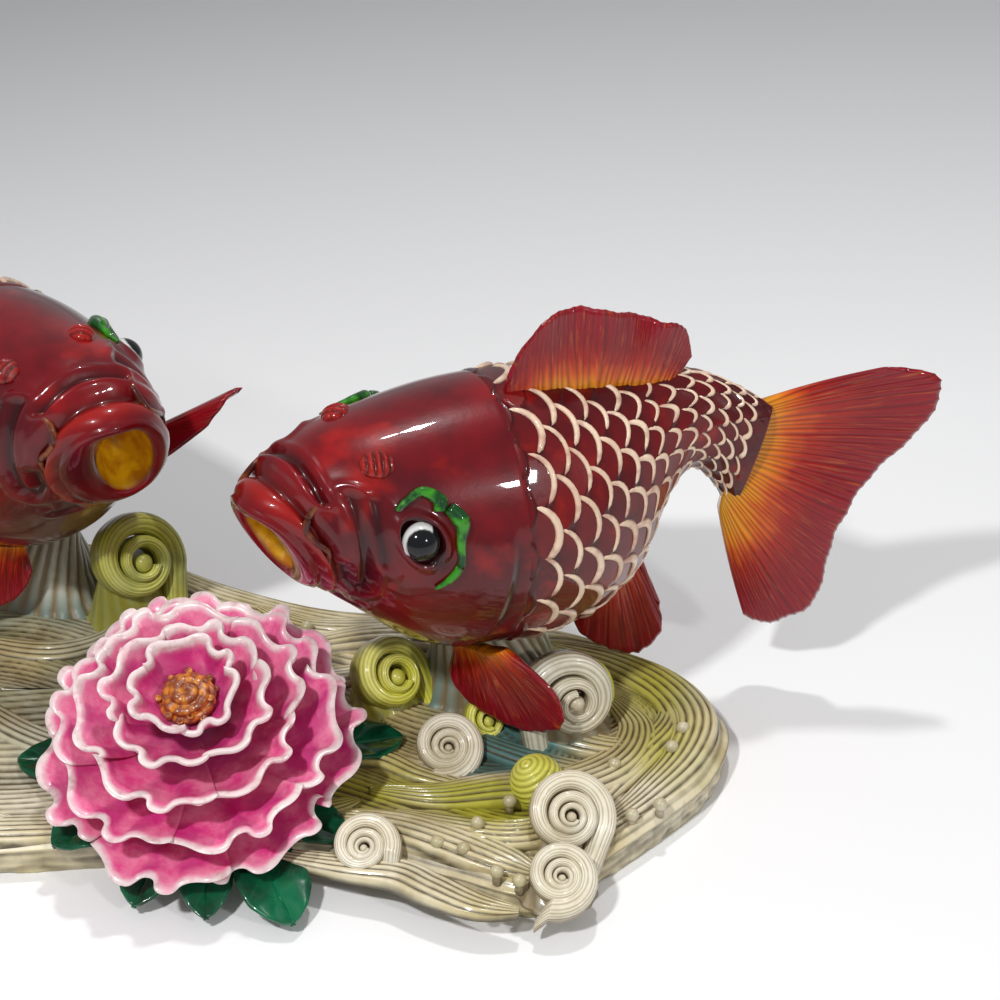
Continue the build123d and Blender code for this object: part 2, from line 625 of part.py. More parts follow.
def make_leaf(direction, reach, width, drop):
    """Leaf folded along its midrib, from the stem out under the petals"""
    reach *= PEONY_RADIUS
    width *= PEONY_RADIUS
    heading = radians(direction)
    away = Vector(cos(heading), sin(heading), 0)
    beside = Vector(-sin(heading), cos(heading), 0)
    foot = stem_foot()
    heel = PEONY_CORE_RADIUS * LEAF_HEEL_SHARE
    with BuildPart() as leaf:
        for share, wide in leaf_round_shares:
            fall = drop * BASE_THICKNESS * max(0.0, share - LEAF_BEND_SHARE) / (1 - LEAF_BEND_SHARE)
            at = foot + away * (heel + (reach - heel) * share) + Vector(0, 0, LEAF_RISE - fall)
            half = width / 2 * wide
            fold = LEAF_FOLD * wide
            with BuildSketch(Plane(origin=at, x_dir=beside, z_dir=away)):
                with BuildLine():
                    Polyline((-half, fold), (0, 0), (half, fold), (half, fold + LEAF_THICKNESS),
                             (0, LEAF_THICKNESS), (-half, fold + LEAF_THICKNESS), close=True)
                make_face()
        loft()
    return leaf.part


def make_beads():
    """Foam beads on short posts that stand on the base top"""
    with BuildPart() as beads:
        for x, y in bead_shares:
            with BuildSketch(Plane(origin=base_point(x, y, BASE_THICKNESS))):
                Circle(BEAD_POST_DIAMETER / 2)
            extrude(amount=BEAD_POST_HEIGHT)
            height = BASE_THICKNESS + BEAD_POST_HEIGHT + BEAD_DIAMETER * BEAD_SEAT_SHARE
            with Locations(base_point(x, y, height)):
                Sphere(BEAD_DIAMETER / 2)
    return beads.part


os.makedirs("parts", exist_ok=True)

plinth = finish(make_plinth(), "base_plinth")
right_body, right_crest = build_carp(RIGHT_CARP, CREST_PLACE)
left_body, left_crest = build_carp(LEFT_CARP, CREST_PLACE)

with BuildPart() as stem_pin:
    with BuildSketch(stem_pin_plane()):
        Circle(STEM_PIN_DIAMETER / 2)
    extrude(amount=STEM_PIN_LENGTH)
finish(stem_pin.part, "peony_stem_pin")
core = finish(make_core(stem_pin.part), "peony_core")
for index, (name, count, rim, middle, heel) in enumerate(petal_tiers):
    cut_from(make_petals(count, rim, middle, heel, index * TIER_TURN), name, core)
cut_from(make_stamens(), "stamens", core)

crests = (right_crest, left_crest)
coils = []
for name, place in scrolls.items():
    coil = make_coil(place, SCROLL_RADIUS, SCROLL_DEPTH)
    coils.append(cut_from(coil, name, *crests, *coils, whole=True))
for name, place in curls.items():
    coil = make_coil(place, CURL_RADIUS, CURL_DEPTH)
    coils.append(cut_from(coil, name, *crests, right_body, left_body, *coils, whole=True))

leaf_parts = []
for name, (direction, reach, width, drop) in leaves.items():
    leaf = make_leaf(direction, reach, width, drop)
    leaf_parts.append(cut_from(leaf, name, core, plinth, *coils, *leaf_parts, whole=True))

band_parts = []
for name, (width, route) in bands.items():
    band = make_band(width, route)
    band_parts.append(cut_from(band, name, *crests, *coils, *leaf_parts, *band_parts, whole=True))

cut_from(make_beads(), "foam_beads", *crests, *coils, *leaf_parts, *band_parts)
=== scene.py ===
"""Looks of the carp and peony ornament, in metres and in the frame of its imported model.

Each piece is a stack of grids worked out with numpy; each finish is a set of shader sums.
+Z is up and -Y is the front.  Names that end in share or shares are fractions of a size.
"""

import bpy
import numpy as np
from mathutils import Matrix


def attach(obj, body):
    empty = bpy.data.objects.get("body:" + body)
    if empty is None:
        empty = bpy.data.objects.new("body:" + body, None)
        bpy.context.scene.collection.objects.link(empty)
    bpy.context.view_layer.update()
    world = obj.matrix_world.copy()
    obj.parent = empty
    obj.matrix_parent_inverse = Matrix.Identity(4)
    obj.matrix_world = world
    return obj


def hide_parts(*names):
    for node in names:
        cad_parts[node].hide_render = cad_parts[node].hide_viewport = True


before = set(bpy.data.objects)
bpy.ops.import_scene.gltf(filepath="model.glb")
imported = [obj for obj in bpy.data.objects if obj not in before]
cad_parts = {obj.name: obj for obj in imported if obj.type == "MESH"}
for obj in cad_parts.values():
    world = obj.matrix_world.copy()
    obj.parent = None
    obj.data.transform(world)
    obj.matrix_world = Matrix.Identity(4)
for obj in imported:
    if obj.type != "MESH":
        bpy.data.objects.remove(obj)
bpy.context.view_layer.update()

MM = 0.001
TAU = 2 * np.pi

# Sizes of the ornament
BASE_LENGTH = 350 * MM
BASE_DEPTH = 199 * MM
BASE_THICKNESS = 12 * MM
BAND_HEIGHT = 5 * MM
BEAD_RADIUS = 2.3 * MM
SCROLL_RADIUS = 12.5 * MM
SCROLL_DEPTH = 9 * MM
CURL_RADIUS = 12 * MM
CURL_DEPTH = 16 * MM
CARP_LENGTH = 180 * MM
CARP_HEIGHT = 97 * MM
CARP_WIDTH = 82 * MM
EYE_RADIUS = 6.5 * MM
EYE_SINK_SHARE = 0.14
PEONY_RADIUS = 53 * MM
PEONY_HEIGHT = 34 * MM
PEONY_CENTRE = np.array([1, -40, 36]) * MM
PEONY_TILT = 22.0
CREST_PLACE = 0.44
UP = np.array([0, 0, 1.0])

# A sheet's outer rim: where its rounding starts and its length (shares of the way out)
RIM_START = 0.955
RIM_LENGTH = 0.045


# Shared surface maths

def unit(vectors):
    """Vectors divided by their own lengths"""
    return vectors / np.maximum(np.linalg.norm(vectors, axis=-1, keepdims=True), 1e-12)


def ease(low, high, values):
    """Smooth step: 0 below low, 1 above high, 3t^2 - 2t^3 between"""
    t = np.clip((values - low) / (high - low), 0, 1)
    return t * t * (3 - 2 * t)


def bump(values, centre, width):
    """Bell of height 1: e to the power -((value - centre) / width)^2"""
    return np.exp(-(((values - centre) / width) ** 2))


def ripple(values):
    """Row of rounded ridges with sharp valleys: the absolute sine, 0 in the valleys"""
    return np.abs(np.sin(np.pi * values))


def rounded(values, power, least=0.0):
    """Falls from 1 to least as values near 1: the square root of 1 - |value| to a power"""
    return np.sqrt(np.clip(1 - np.abs(values) ** power, least, 1))


def rounded_rim(along):
    """Thickness share of a sheet whose last part, from RIM_START on, rounds off"""
    return rounded(((along - RIM_START) / RIM_LENGTH).clip(0, 1), 2, 0.02)


def circle(count):
    """Even turns round a circle, the last left out"""
    return np.linspace(0, TAU, count, endpoint=False)


def catmull(p0, p1, p2, p3, t):
    """Catmull-Rom cubic between the two middle points"""
    return 0.5 * (2 * p1 + (p2 - p0) * t + (2 * p0 - 5 * p1 + 4 * p2 - p3) * t**2
                  + (3 * p1 - p0 - 3 * p2 + p3) * t**3)


def smooth_path(points, count):
    """A curve through given points, read at even steps"""
    points = np.asarray(points, float)
    padded = np.concatenate([2 * points[:1] - points[1:2], points, 2 * points[-1:] - points[-2:-1]])
    at = np.linspace(0, len(points) - 1, count)
    here = np.clip(at.astype(int), 0, len(points) - 2)
    return catmull(*(padded[here + i] for i in range(4)), (at - here)[:, None])


def closed_path(points, count):
    """A closed curve through given points, read at even steps"""
    points = np.asarray(points, float)
    at = np.linspace(0, len(points), count, endpoint=False)
    here = at.astype(int)
    return catmull(*(points[(here + i) % len(points)] for i in (-1, 0, 1, 2)), (at - here)[:, None])


def noise(x, y, seed=0):
    """Sum of five crossed sines with fixed random turns, about -1 to 1"""
    dice = np.random.default_rng(seed)
    waves = zip(dice.uniform(0, TAU, 5), dice.uniform(0.6, 1.9, 5), dice.uniform(0, TAU, 5))
    return sum(np.sin(stretch * (np.cos(turn) * x + np.sin(turn) * y) + shift)
               for turn, stretch, shift in waves) / 2.6


class Surface:
    """Points, faces and marks of one piece, gathered from stacks of grids"""

    def __init__(self):
        self.points, self.quads, self.triangles, self.marks, self.count = [], [], [], {}, 0

    def add(self, grid, ends="fan", **marks):
        """Quads between the neighbours of each grid of a stack (stack, rows, columns, xyz).

        The last column joins the first.  ends closes the first and last rows: "fan" to
        their middle, "strip" from one side of a flat loop to the other.  A shape that
        encloses a negative volume is turned round, so that its faces point outwards.
        """
        grid = np.asarray(grid, float)
        grid = grid[None] if grid.ndim == 3 else grid
        stack, rows, columns, _ = grid.shape
        index = np.arange(stack * rows * columns).reshape(stack, rows, columns)
        points = grid.reshape(-1, 3)
        marks = {name: np.broadcast_to(mark, grid.shape[:-1]) for name, mark in marks.items()}
        values = {name: mark.reshape(-1) for name, mark in marks.items()}
        mesh = np.concatenate([index, index[:, :, :1]], 2)
        corners = (mesh[:, :-1, :-1], mesh[:, 1:, :-1], mesh[:, 1:, 1:], mesh[:, :-1, 1:])
        quads = [np.stack(corners, -1).reshape(-1, 4)]
        triangles = np.zeros((0, 3), int)
        if ends == "strip":
            for row, turn in ((0, 1), (-1, -1)):
                loop = index[:, row]
                near, far = loop[:, :columns // 2], loop[:, ::-1][:, :columns // 2]
                sides = (near[:, :-1], near[:, 1:], far[:, 1:], far[:, :-1])
                quads.append(np.stack(sides[::turn], -1).reshape(-1, 4))
        if ends == "fan":
            for row, turn in ((0, 1), (-1, -1)):
                hub = len(points) + np.arange(stack)[:, None].repeat(columns, 1)
                ring = index[:, row]
                fan = (ring, np.roll(ring, -1, 1), hub)
                fan = fan if turn == 1 else (fan[1], fan[0], fan[2])
                triangles = np.concatenate([triangles, np.stack(fan, -1).reshape(-1, 3)])
                points = np.concatenate([points, grid[:, row].mean(1)])
                for name, mark in marks.items():
                    values[name] = np.concatenate([values[name], mark[:, row].mean(1)])
        quads = np.concatenate(quads)
        p, q, r, s = (points[quads[:, i]] for i in range(4))
        volume = (np.cross(p, q) * r).sum() + (np.cross(p, r) * s).sum()
        p, q, r = (points[triangles[:, i]] for i in range(3))
        volume += (np.cross(p, q) * r).sum()
        if volume < 0:
            quads, triangles = quads[:, ::-1], triangles[:, ::-1]
        self.points.append(points)
        self.quads.append(quads + self.count)
        self.triangles.append(triangles + self.count)
        for name, mark in values.items():
            self.marks.setdefault(name, []).append(mark)
        self.count += len(points)
        return self

    def piece(self, name, finish, slot, *nodes):
        """The gathered grids as one object that rides the root and stands for CAD nodes"""
        points = np.concatenate(self.points)
        quads, triangles = np.concatenate(self.quads), np.concatenate(self.triangles)
        mesh = bpy.data.meshes.new(name)
        mesh.vertices.add(len(points))
        mesh.vertices.foreach_set("co", points.astype(np.float32).ravel())
        corners = np.concatenate([quads.ravel(), triangles.ravel()]).astype(np.int32)
        sizes = np.concatenate([np.full(len(quads), 4), np.full(len(triangles), 3)])
        mesh.loops.add(len(corners))
        mesh.loops.foreach_set("vertex_index", corners)
        mesh.polygons.add(len(sizes))
        starts = np.concatenate([[0], np.cumsum(sizes)[:-1]])
        mesh.polygons.foreach_set("loop_start", starts.astype(np.int32))
        mesh.polygons.foreach_set("use_smooth", np.ones(len(sizes), bool))
        for mark, values in self.marks.items():
            layer = mesh.attributes.new(mark, "FLOAT", "POINT")
            layer.data.foreach_set("value", np.concatenate(values).astype(np.float32))
        mesh.update(calc_edges=True)
        mesh.validate()
        mesh.materials.append(finish)
        thing = bpy.data.objects.new(name, mesh)
        bpy.context.scene.collection.objects.link(thing)
        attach(thing, "root")
        if nodes:
            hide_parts(*nodes)

    def painted(self, node, finish, slot):
        """The gathered grids in place of one CAD node"""
        self.piece(f"{node}_painted", finish, slot, node)


def skin_both_sides(middle, thickness):
    """A closed sheet: the middle surface pushed out along its normals, both ways, as one loop"""
    across = np.gradient(middle, axis=-3)
    along = np.gradient(middle, axis=-2)
    normal = unit(np.cross(across, along))
    offset = normal * np.asarray(thickness)[..., None] / 2
    return np.concatenate([middle + offset, (middle - offset)[..., ::-1, :]], -2)


def both_ways(mark):
    """A mark for each column of a sheet, repeated for its other side"""
    return np.concatenate([mark, mark[..., ::-1]], -1)


def tube(path, radius, sides=12):
    """Rings of a round section carried along a path, square to it"""
    path = np.asarray(path, float)
    forward = unit(np.gradient(path, axis=-2))
    helper = np.where(np.abs(forward[..., 2:3]) > 0.9, [1.0, 0, 0], UP)
    side = unit(np.cross(forward, helper))
    up = np.cross(side, forward)
    turn = circle(sides)[:, None]
    radius = np.broadcast_to(radius, path.shape[:-1])[..., None, None]
    round_it = np.cos(turn) * side[..., None, :] + np.sin(turn) * up[..., None, :]
    return path[..., None, :] + radius * round_it


def dome(centre, lat, lon, axes, sizes):
    """Points round a centre at turns lat down from the last axis and lon round it"""
    wide, deep, tall = sizes
    x, y, z = (np.asarray(axis, float) for axis in axes)
    return (centre + (wide * np.sin(lat) * np.cos(lon))[..., None] * x
            + (deep * np.sin(lat) * np.sin(lon))[..., None] * y
            + (tall * np.cos(lat) + 0 * lon)[..., None] * z)


def ball(centre, radius, rows=12, columns=18, axes=((1, 0, 0), (0, 1, 0), (0, 0, 1))):
    """Points of a sphere or an ellipsoid, from pole to pole along the last axis"""
    lat = np.linspace(0.02, np.pi - 0.02, rows)[:, None]
    return dome(np.asarray(centre), lat, circle(columns)[None, :], axes, np.broadcast_to(radius, 3))


# Shader sums

BUMP_STRENGTH = 0.6


class Wire:
    """A socket of a finish that takes part in sums; each operator adds one Math node"""

    def __init__(self, finish, socket):
        self.finish = finish
        self.socket = socket

    def maths(self, operation, first, second):
        """One Math node with two values"""
        return self.finish.node("ShaderNodeMath", {"operation": operation}, {0: first, 1: second})

    def __add__(self, other):
        return self.maths("ADD", self, other)

    __radd__ = __add__

    def __sub__(self, other):
        return self.maths("SUBTRACT", self, other)

    def __rsub__(self, other):
        return self.maths("SUBTRACT", other, self)

    def __mul__(self, other):
        return self.maths("MULTIPLY", self, other)

    __rmul__ = __mul__


class Finish:
    """A Principled material whose sockets are fed by expressions"""

    def __init__(self, name, **constants):
        self.material = bpy.data.materials.new(name)
        self.material.use_nodes = True
        self.tree = self.material.node_tree
        self.tree.nodes.clear()
        output = self.tree.nodes.new("ShaderNodeOutputMaterial")
        self.shader = self.tree.nodes.new("ShaderNodeBsdfPrincipled")
        self.tree.links.new(self.shader.outputs[0], output.inputs[0])
        self.feed(self.shader, {socket.replace("_", " "): value for socket, value in constants.items()})

    def node(self, kind, settings=None, sockets=None, out=0):
        """A node: its settings first, then the values or links of its sockets"""
        node = self.tree.nodes.new(kind)
        for key, value in (settings or {}).items():
            if key == "stops":
                ramp = node.color_ramp.elements
                while len(ramp) < len(value):
                    ramp.new(0.5)
                for element, (place, colour) in zip(ramp, value):
                    element.position = place
                    element.color = (*colour, 1)
            else:
                setattr(node, key, value)
        self.feed(node, sockets or {})
        return Wire(self, node.outputs[out])

    def feed(self, node, sockets):
        """Links or sets the sockets of a node"""
        for key, value in sockets.items():
            if isinstance(value, Wire):
                self.tree.links.new(value.socket, node.inputs[key])
            else:
                node.inputs[key].default_value = value

    def mark(self, name):
        """A mark that the mesh carries"""
        return self.node("ShaderNodeAttribute", {"attribute_name": name}, out="Fac")

    def place(self):
        """Place on the object, in metres"""
        return self.node("ShaderNodeTexCoord", out="Object")

    def axis(self, number):
        """One coordinate of the place: 0 to the right, 1 to the back, 2 up"""
        return self.node("ShaderNodeSeparateXYZ", {}, {0: self.place()}, out=number)

    def cloud(self, scale, detail=3.0, rough=0.55, stretch=(1, 1, 1), turn=(0, 0, 0)):
        """Noise on Object coordinates, 0 to 1, stretched along its axes"""
        mapped = self.node("ShaderNodeMapping", {},
                           {"Vector": self.place(), "Scale": stretch, "Rotation": turn})
        sockets = {"Vector": mapped, "Scale": scale, "Detail": detail, "Roughness": rough}
        return self.node("ShaderNodeTexNoise", {}, sockets, out="Fac")

    def streaks(self, across, along, across_scale, along_scale):
        """Noise drawn out along a pair of marks, such as the rays of a fin"""
        joined = self.node("ShaderNodeCombineXYZ", {}, {0: self.mark(across) * across_scale,
                                                        1: self.mark(along) * along_scale})
        sockets = {"Vector": joined, "Scale": 1.0, "Detail": 2.0}
        return self.node("ShaderNodeTexNoise", {}, sockets, out="Fac")

    def span(self, value, low, high):
        """A value read from low to high as 0 to 1, held at both ends"""
        return self.node("ShaderNodeMapRange", {"clamp": True}, {0: value, 1: low, 2: high})

    def blend(self, share, first, second):
        """First colour where share is 0, second where it is 1"""
        first = (*first, 1) if isinstance(first, tuple) else first
        second = (*second, 1) if isinstance(second, tuple) else second
        return self.node("ShaderNodeMix", {"data_type": "RGBA"}, {0: share, 6: first, 7: second}, out=2)

    def finish(self, colour, bump_height=None, bump_depth=0.0, **feeds):
        """Links the expressions to the shader and gives the material"""
        feeds["Base Color"] = colour
        if bump_height is not None:
            sockets = {"Height": bump_height, "Distance": bump_depth, "Strength": BUMP_STRENGTH}
            feeds["Normal"] = self.node("ShaderNodeBump", {}, sockets)
        self.feed(self.shader, feeds)
        return self.material


def lacquer(name, **extra):
    """Clear gloss over paint: the start of every enamelled finish"""
    return Finish(name, **{"Roughness": 0.32, "Coat_Weight": 1.0, "Coat_Roughness": 0.035,
                           "Coat_IOR": 1.33, "Specular_IOR_Level": 0.15, **extra})


def carp_red():
    """Wine-red lacquer, lighter where the paint is thin, with painted shade in the folds and on the lower
    part, and a painted highlight on the lips and nostrils
    """
    f = lacquer("carp_red")
    patches = f.span(f.cloud(26, 4), 0.38, 0.66)
    colour = f.blend(patches, (0.080, 0.0014, 0.0045), (0.225, 0.0022, 0.0058))
    glow = f.span(f.cloud(48, 3, turn=(0.4, 0.9, 0.2)), 0.58, 0.80)
    colour = f.blend(glow * 0.65, colour, (0.48, 0.010, 0.005))
    # Painted highlight: the lips and nostrils lighter red
    colour = f.blend(f.mark("glow"), colour, (0.52, 0.020, 0.006))
    # Painted shade: the head's folds, the eye socket and the inside of the mouth near black
    colour = f.blend(f.mark("fold"), colour, (0.018, 0.0010, 0.0018))
    colour = f.blend(f.mark("gold"), colour, f.blend(f.span(f.cloud(160, 3), 0.4, 0.62),
                                                     (0.80, 0.44, 0.006), (0.52, 0.20, 0.004)))
    # Painted shade: darker towards the underside, below 95 mm, except on the gold of the mouth
    low = f.span(f.axis(2) + f.cloud(20, 2) * 0.02, 0.095, 0.055)
    colour = f.blend(low * (f.mark("gold") * -1 + 1) * 0.55, colour, (0.060, 0.0075, 0.0085))
    return f.finish(colour, bump_height=f.cloud(420, 2), bump_depth=0.00008)


def scale_red():
    """Red lacquer over scales, with painted shade darkest in the valleys round each scale, where the dark
    outline is partly real paint
    """
    f = lacquer("scale_red")
    patches = f.span(f.cloud(30, 4), 0.36, 0.68)
    colour = f.blend(patches, (0.055, 0.0016, 0.0035), (0.165, 0.0024, 0.0038))
    glow = f.span(f.cloud(75, 3), 0.57, 0.78)
    colour = f.blend(glow * 0.7, colour, (0.36, 0.010, 0.004))
    # Painted shade in the valleys round each scale, with the dark outline there partly real paint
    colour = f.blend(f.mark("fold"), colour, (0.014, 0.0012, 0.0020))
    return f.finish(colour, bump_height=f.cloud(300, 2), bump_depth=0.0001)


def scale_edge_cream():
    """Brushed cream enamel, thinner and pinker towards the ends of each stroke"""
    f = lacquer("scale_edge_cream", Roughness=0.4)
    wear = f.span(f.cloud(210, 3) + f.mark("fade") * 0.30, 0.60, 0.95)
    colour = f.blend(f.span(f.cloud(60, 2), 0.35, 0.65), (0.80, 0.62, 0.46), (0.68, 0.48, 0.34))
    colour = f.blend(wear * 0.75, colour, (0.30, 0.090, 0.075))
    return f.finish(colour, bump_height=f.cloud(500, 2), bump_depth=0.0001)


# Colours of a fin from root to edge: share of the way and colour
fin_stops = (
    (0.0, (0.60, 0.27, 0.008)), (0.14, (0.70, 0.22, 0.005)), (0.27, (0.58, 0.085, 0.004)),
    (0.42, (0.36, 0.012, 0.003)), (0.66, (0.24, 0.0026, 0.0055)), (1.0, (0.26, 0.0030, 0.013)))


def fin_lacquer():
    """Amber at the root, orange then crimson outwards, streaked along the rays"""
    f = lacquer("fin_lacquer")
    streak = f.streaks("across", "along", 46.0, 2.4)
    fine = f.streaks("across", "along", 130.0, 3.5)
    patch = f.cloud(42, 3)
    reach = f.mark("along") * 1.02 + (streak - 0.5) * 0.30 + (patch - 0.5) * 0.42 + f.mark("shift")
    colour = f.node("ShaderNodeValToRGB", {"stops": fin_stops}, {0: reach})
    colour = f.blend(f.span(fine, 0.56, 0.74) * 0.42, colour, (0.60, 0.17, 0.03))
    # Painted shade: darker in the grooves between the rays
    colour = f.blend(f.mark("fold") * 0.72, colour, (0.035, 0.0012, 0.0028))
    return f.finish(colour)


def eye_enamel():
    """Black dome with a grey-white crescent on the upper front, and painted shade at its edge in the socket
    """
    f = lacquer("eye_enamel", Roughness=0.15)
    colour = f.blend(f.mark("white"), (0.0045, 0.0050, 0.0065), (0.60, 0.60, 0.58))
    # Painted shade: the edge of the dome darker where it sinks into the socket
    rim = f.span(f.mark("rim"), 0.80, 0.90)
    return f.finish(f.blend(rim, colour, (0.010, 0.003, 0.004)))


def brow_green():
    """Bottle-green lacquer with painted highlights of lighter green, placed by noise"""
    f = lacquer("brow_green")
    # Painted highlight: patches of lighter green
    colour = f.blend(f.span(f.cloud(190, 3), 0.40, 0.60), (0.004, 0.050, 0.008), (0.035, 0.24, 0.012))
    return f.finish(colour)


def barbel_brown():
    """Amber-brown lacquer"""
    f = lacquer("barbel_brown")
    patches = f.span(f.cloud(240, 3), 0.40, 0.60)
    return f.finish(f.blend(patches, (0.060, 0.008, 0.005), (0.20, 0.050, 0.014)))


def petal_pink():
    """Magenta washed into pink, with painted shade deepest in the hollows and at the bases of the petals,
    and white rims with a little dirt
    """
    f = Finish("petal_pink", Roughness=0.40, Coat_Weight=0.35, Coat_Roughness=0.15)
    wash_and_shade = f.span(f.cloud(110, 5, 0.70), 0.36, 0.62)
    pink = f.blend(wash_and_shade, (0.72, 0.045, 0.235), (0.84, 0.24, 0.39))
    # Deeper magenta towards the middle is partly real colour; the darkening in the ruffle hollows is
    # painted shade
    deep = f.span(f.cloud(60, 4) - f.mark("along") * 0.16 + f.mark("hollow") * 0.14, 0.34, 0.48)
    pink = f.blend(deep * 0.75, pink, (0.55, 0.014, 0.19))
    # Painted shade: dark towards the petal bases, under the tier above
    pink = f.blend(f.span(f.mark("along"), 0.62, 0.05) * 0.8, pink, (0.26, 0.008, 0.085))
    pale = f.span(f.mark("rim") + (f.cloud(85, 4) - 0.5) * 0.8, 0.0, 0.5)
    pink = f.blend(pale * 0.45, pink, (0.84, 0.42, 0.52))
    rim = f.span(f.mark("rim") + (f.cloud(90, 5, 0.65) - 0.5) * 2.0, 0.30, 0.85)
    white = f.blend(f.span(f.cloud(240, 4), 0.50, 0.74), (0.78, 0.66, 0.64), (0.52, 0.31, 0.31))
    return f.finish(f.blend(rim * 0.95, pink, white), bump_height=f.cloud(260, 4), bump_depth=0.0004)


def stamen_amber():
    """Honey amber, with painted shade darkening the borders between the cells"""
    f = Finish("stamen_amber", Roughness=0.4, Coat_Weight=0.6, Coat_Roughness=0.15)
    cells = f.node("ShaderNodeTexVoronoi", {}, {"Vector": f.place(), "Scale": 420.0}, out="Distance")
    # Painted shade between the cells
    colour = f.blend(f.span(cells, 0.25, 0.65), (0.60, 0.20, 0.010), (0.22, 0.045, 0.004))
    return f.finish(colour, bump_height=cells, bump_depth=0.0008)


def leaf_green():
    """Dark bottle-green enamel, brighter along the midrib and veins"""
    f = lacquer("leaf_green", Roughness=0.25)
    colour = f.blend(f.span(f.cloud(60, 4), 0.38, 0.66), (0.0012, 0.032, 0.014), (0.0025, 0.125, 0.050))
    colour = f.blend(f.mark("vein") * 0.55, colour, (0.008, 0.20, 0.085))
    return f.finish(colour, bump_height=f.cloud(200, 3), bump_depth=0.0002)


def water_paint(name, pale, mid, wash_and_shade):
    """Hand-washed enamel on ridged water: pale ridges, with painted shade darkening the valleys"""
    f = Finish(name, Roughness=0.40, Coat_Weight=0.5, Coat_Roughness=0.12, Coat_IOR=1.4)
    patch = f.span(f.cloud(24, 4), 0.36, 0.64)
    colour = f.blend(patch, pale, mid)
    tone = f.mark("tone")
    drift = (f.cloud(30, 3) - 0.5) * 0.9
    colour = f.blend(f.span(tone + drift, 0.12, 0.85), colour, (0.44, 0.41, 0.035))
    colour = f.blend(f.span(tone * -1 + drift, 0.12, 0.85), colour, (0.070, 0.165, 0.150))
    brown = f.span(f.cloud(38, 4, 0.6), 0.52, 0.66)
    colour = f.blend(brown * 0.40, colour, (0.30, 0.20, 0.055))
    # Painted shade in the valleys, from the fold mark
    valley_shade = f.span(f.mark("fold") + (f.cloud(190, 4) - 0.5) * 0.45, 0.10, 0.72)
    colour = f.blend(valley_shade * 0.92, colour, wash_and_shade)
    worn = f.span(f.cloud(330, 3), 0.66, 0.80)
    colour = f.blend(worn * 0.35, colour, (0.24, 0.15, 0.07))
    return f.finish(colour, bump_height=f.cloud(300, 4), bump_depth=0.0003)


def pin_steel():
    """Drawn steel with fine lengthwise lines"""
    f = Finish("pin_steel", Metallic=1.0)
    lines = f.cloud(900, 2, stretch=(1, 1, 0.05))
    return f.finish(f.blend(lines, (0.42, 0.42, 0.44), (0.62, 0.62, 0.64)), Roughness=lines * 0.2 + 0.25)


# The carp: stations along the spine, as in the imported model

stations = np.array([0.0, 0.050, 0.116, 0.211, 0.334, 0.465, 0.579, 0.678, 0.771, 0.843, 0.913, 1.0])
spine_shares = np.array([
    (-0.412, -0.200, 0.054), (-0.367, -0.178, 0.061), (-0.307, -0.150, 0.057),
    (-0.227, -0.106, 0.034), (-0.120, -0.050, 0.011), (0.0, 0.0, 0.0),
    (0.107, 0.039, 0.008), (0.195, 0.067, 0.042), (0.266, 0.089, 0.098),
    (0.333, 0.100, 0.122), (0.395, 0.106, 0.091), (0.456, 0.106, 0.029)])
height_shares = np.array([0.423, 0.557, 0.701, 0.845, 0.969, 1.0, 0.928, 0.773, 0.515, 0.381, 0.392, 0.474])
width_shares = np.array([0.415, 0.585, 0.744, 0.890, 0.988, 1.0, 0.915, 0.720, 0.488, 0.317, 0.232, 0.146])
headings = np.radians([44, 38, 32, 27.5, 25, 22, 19, 16, 13, 9, 5, 2])
rises = np.radians([24, 14, 6, 0, -2, 0, 6, 10, 8, 0, -8, -14])
BODY_ROLL = np.radians(7.0)
MEAN_HEADING = np.radians(22.0)

# Rays of the fins: places of root and tip, as shares of the carp's length
dorsal_ray_shares = np.array([
    (-0.017, -0.058, 0.227, -0.005, -0.055, 0.300), (0.022, -0.045, 0.227, 0.033, -0.040, 0.361),
    (0.062, -0.023, 0.224, 0.067, -0.031, 0.403), (0.105, -0.006, 0.220, 0.115, 0.003, 0.406),
    (0.148, 0.012, 0.217, 0.165, 0.011, 0.397), (0.190, 0.030, 0.214, 0.220, 0.047, 0.372),
    (0.230, 0.047, 0.210, 0.268, 0.053, 0.353), (0.265, 0.059, 0.204, 0.312, 0.080, 0.333),
    (0.290, 0.067, 0.197, 0.342, 0.086, 0.272)]).reshape(-1, 2, 3)
tail_ray_shares = np.array([
    (0.447, 0.106, 0.150, 0.745, 0.117, 0.236), (0.442, 0.106, 0.128, 0.805, 0.119, 0.186),
    (0.437, 0.106, 0.102, 0.778, 0.125, 0.094), (0.432, 0.106, 0.076, 0.724, 0.117, 0.017),
    (0.426, 0.106, 0.050, 0.668, 0.108, -0.052), (0.420, 0.106, 0.024, 0.634, 0.103, -0.130),
    (0.415, 0.106, 0.000, 0.622, 0.097, -0.215), (0.411, 0.106, -0.030, 0.603, 0.097, -0.300),
    (0.406, 0.106, -0.058, 0.545, 0.099, -0.355), (0.401, 0.106, -0.086, 0.480, 0.102, -0.386),
]).reshape(-1, 2, 3)
lowered_ray_shares = np.array([
    (-0.102, -0.098, -0.255, -0.117, -0.112, -0.317), (-0.092, -0.106, -0.248, -0.094, -0.122, -0.350),
    (-0.080, -0.118, -0.242, -0.061, -0.142, -0.375), (-0.066, -0.130, -0.236, -0.017, -0.168, -0.386),
    (-0.053, -0.142, -0.230, 0.031, -0.202, -0.384), (-0.040, -0.155, -0.226, 0.069, -0.226, -0.366),
    (-0.028, -0.164, -0.220, 0.095, -0.246, -0.338), (-0.016, -0.172, -0.214, 0.099, -0.248, -0.298),
    (-0.006, -0.176, -0.208, 0.080, -0.236, -0.252)]).reshape(-1, 2, 3)
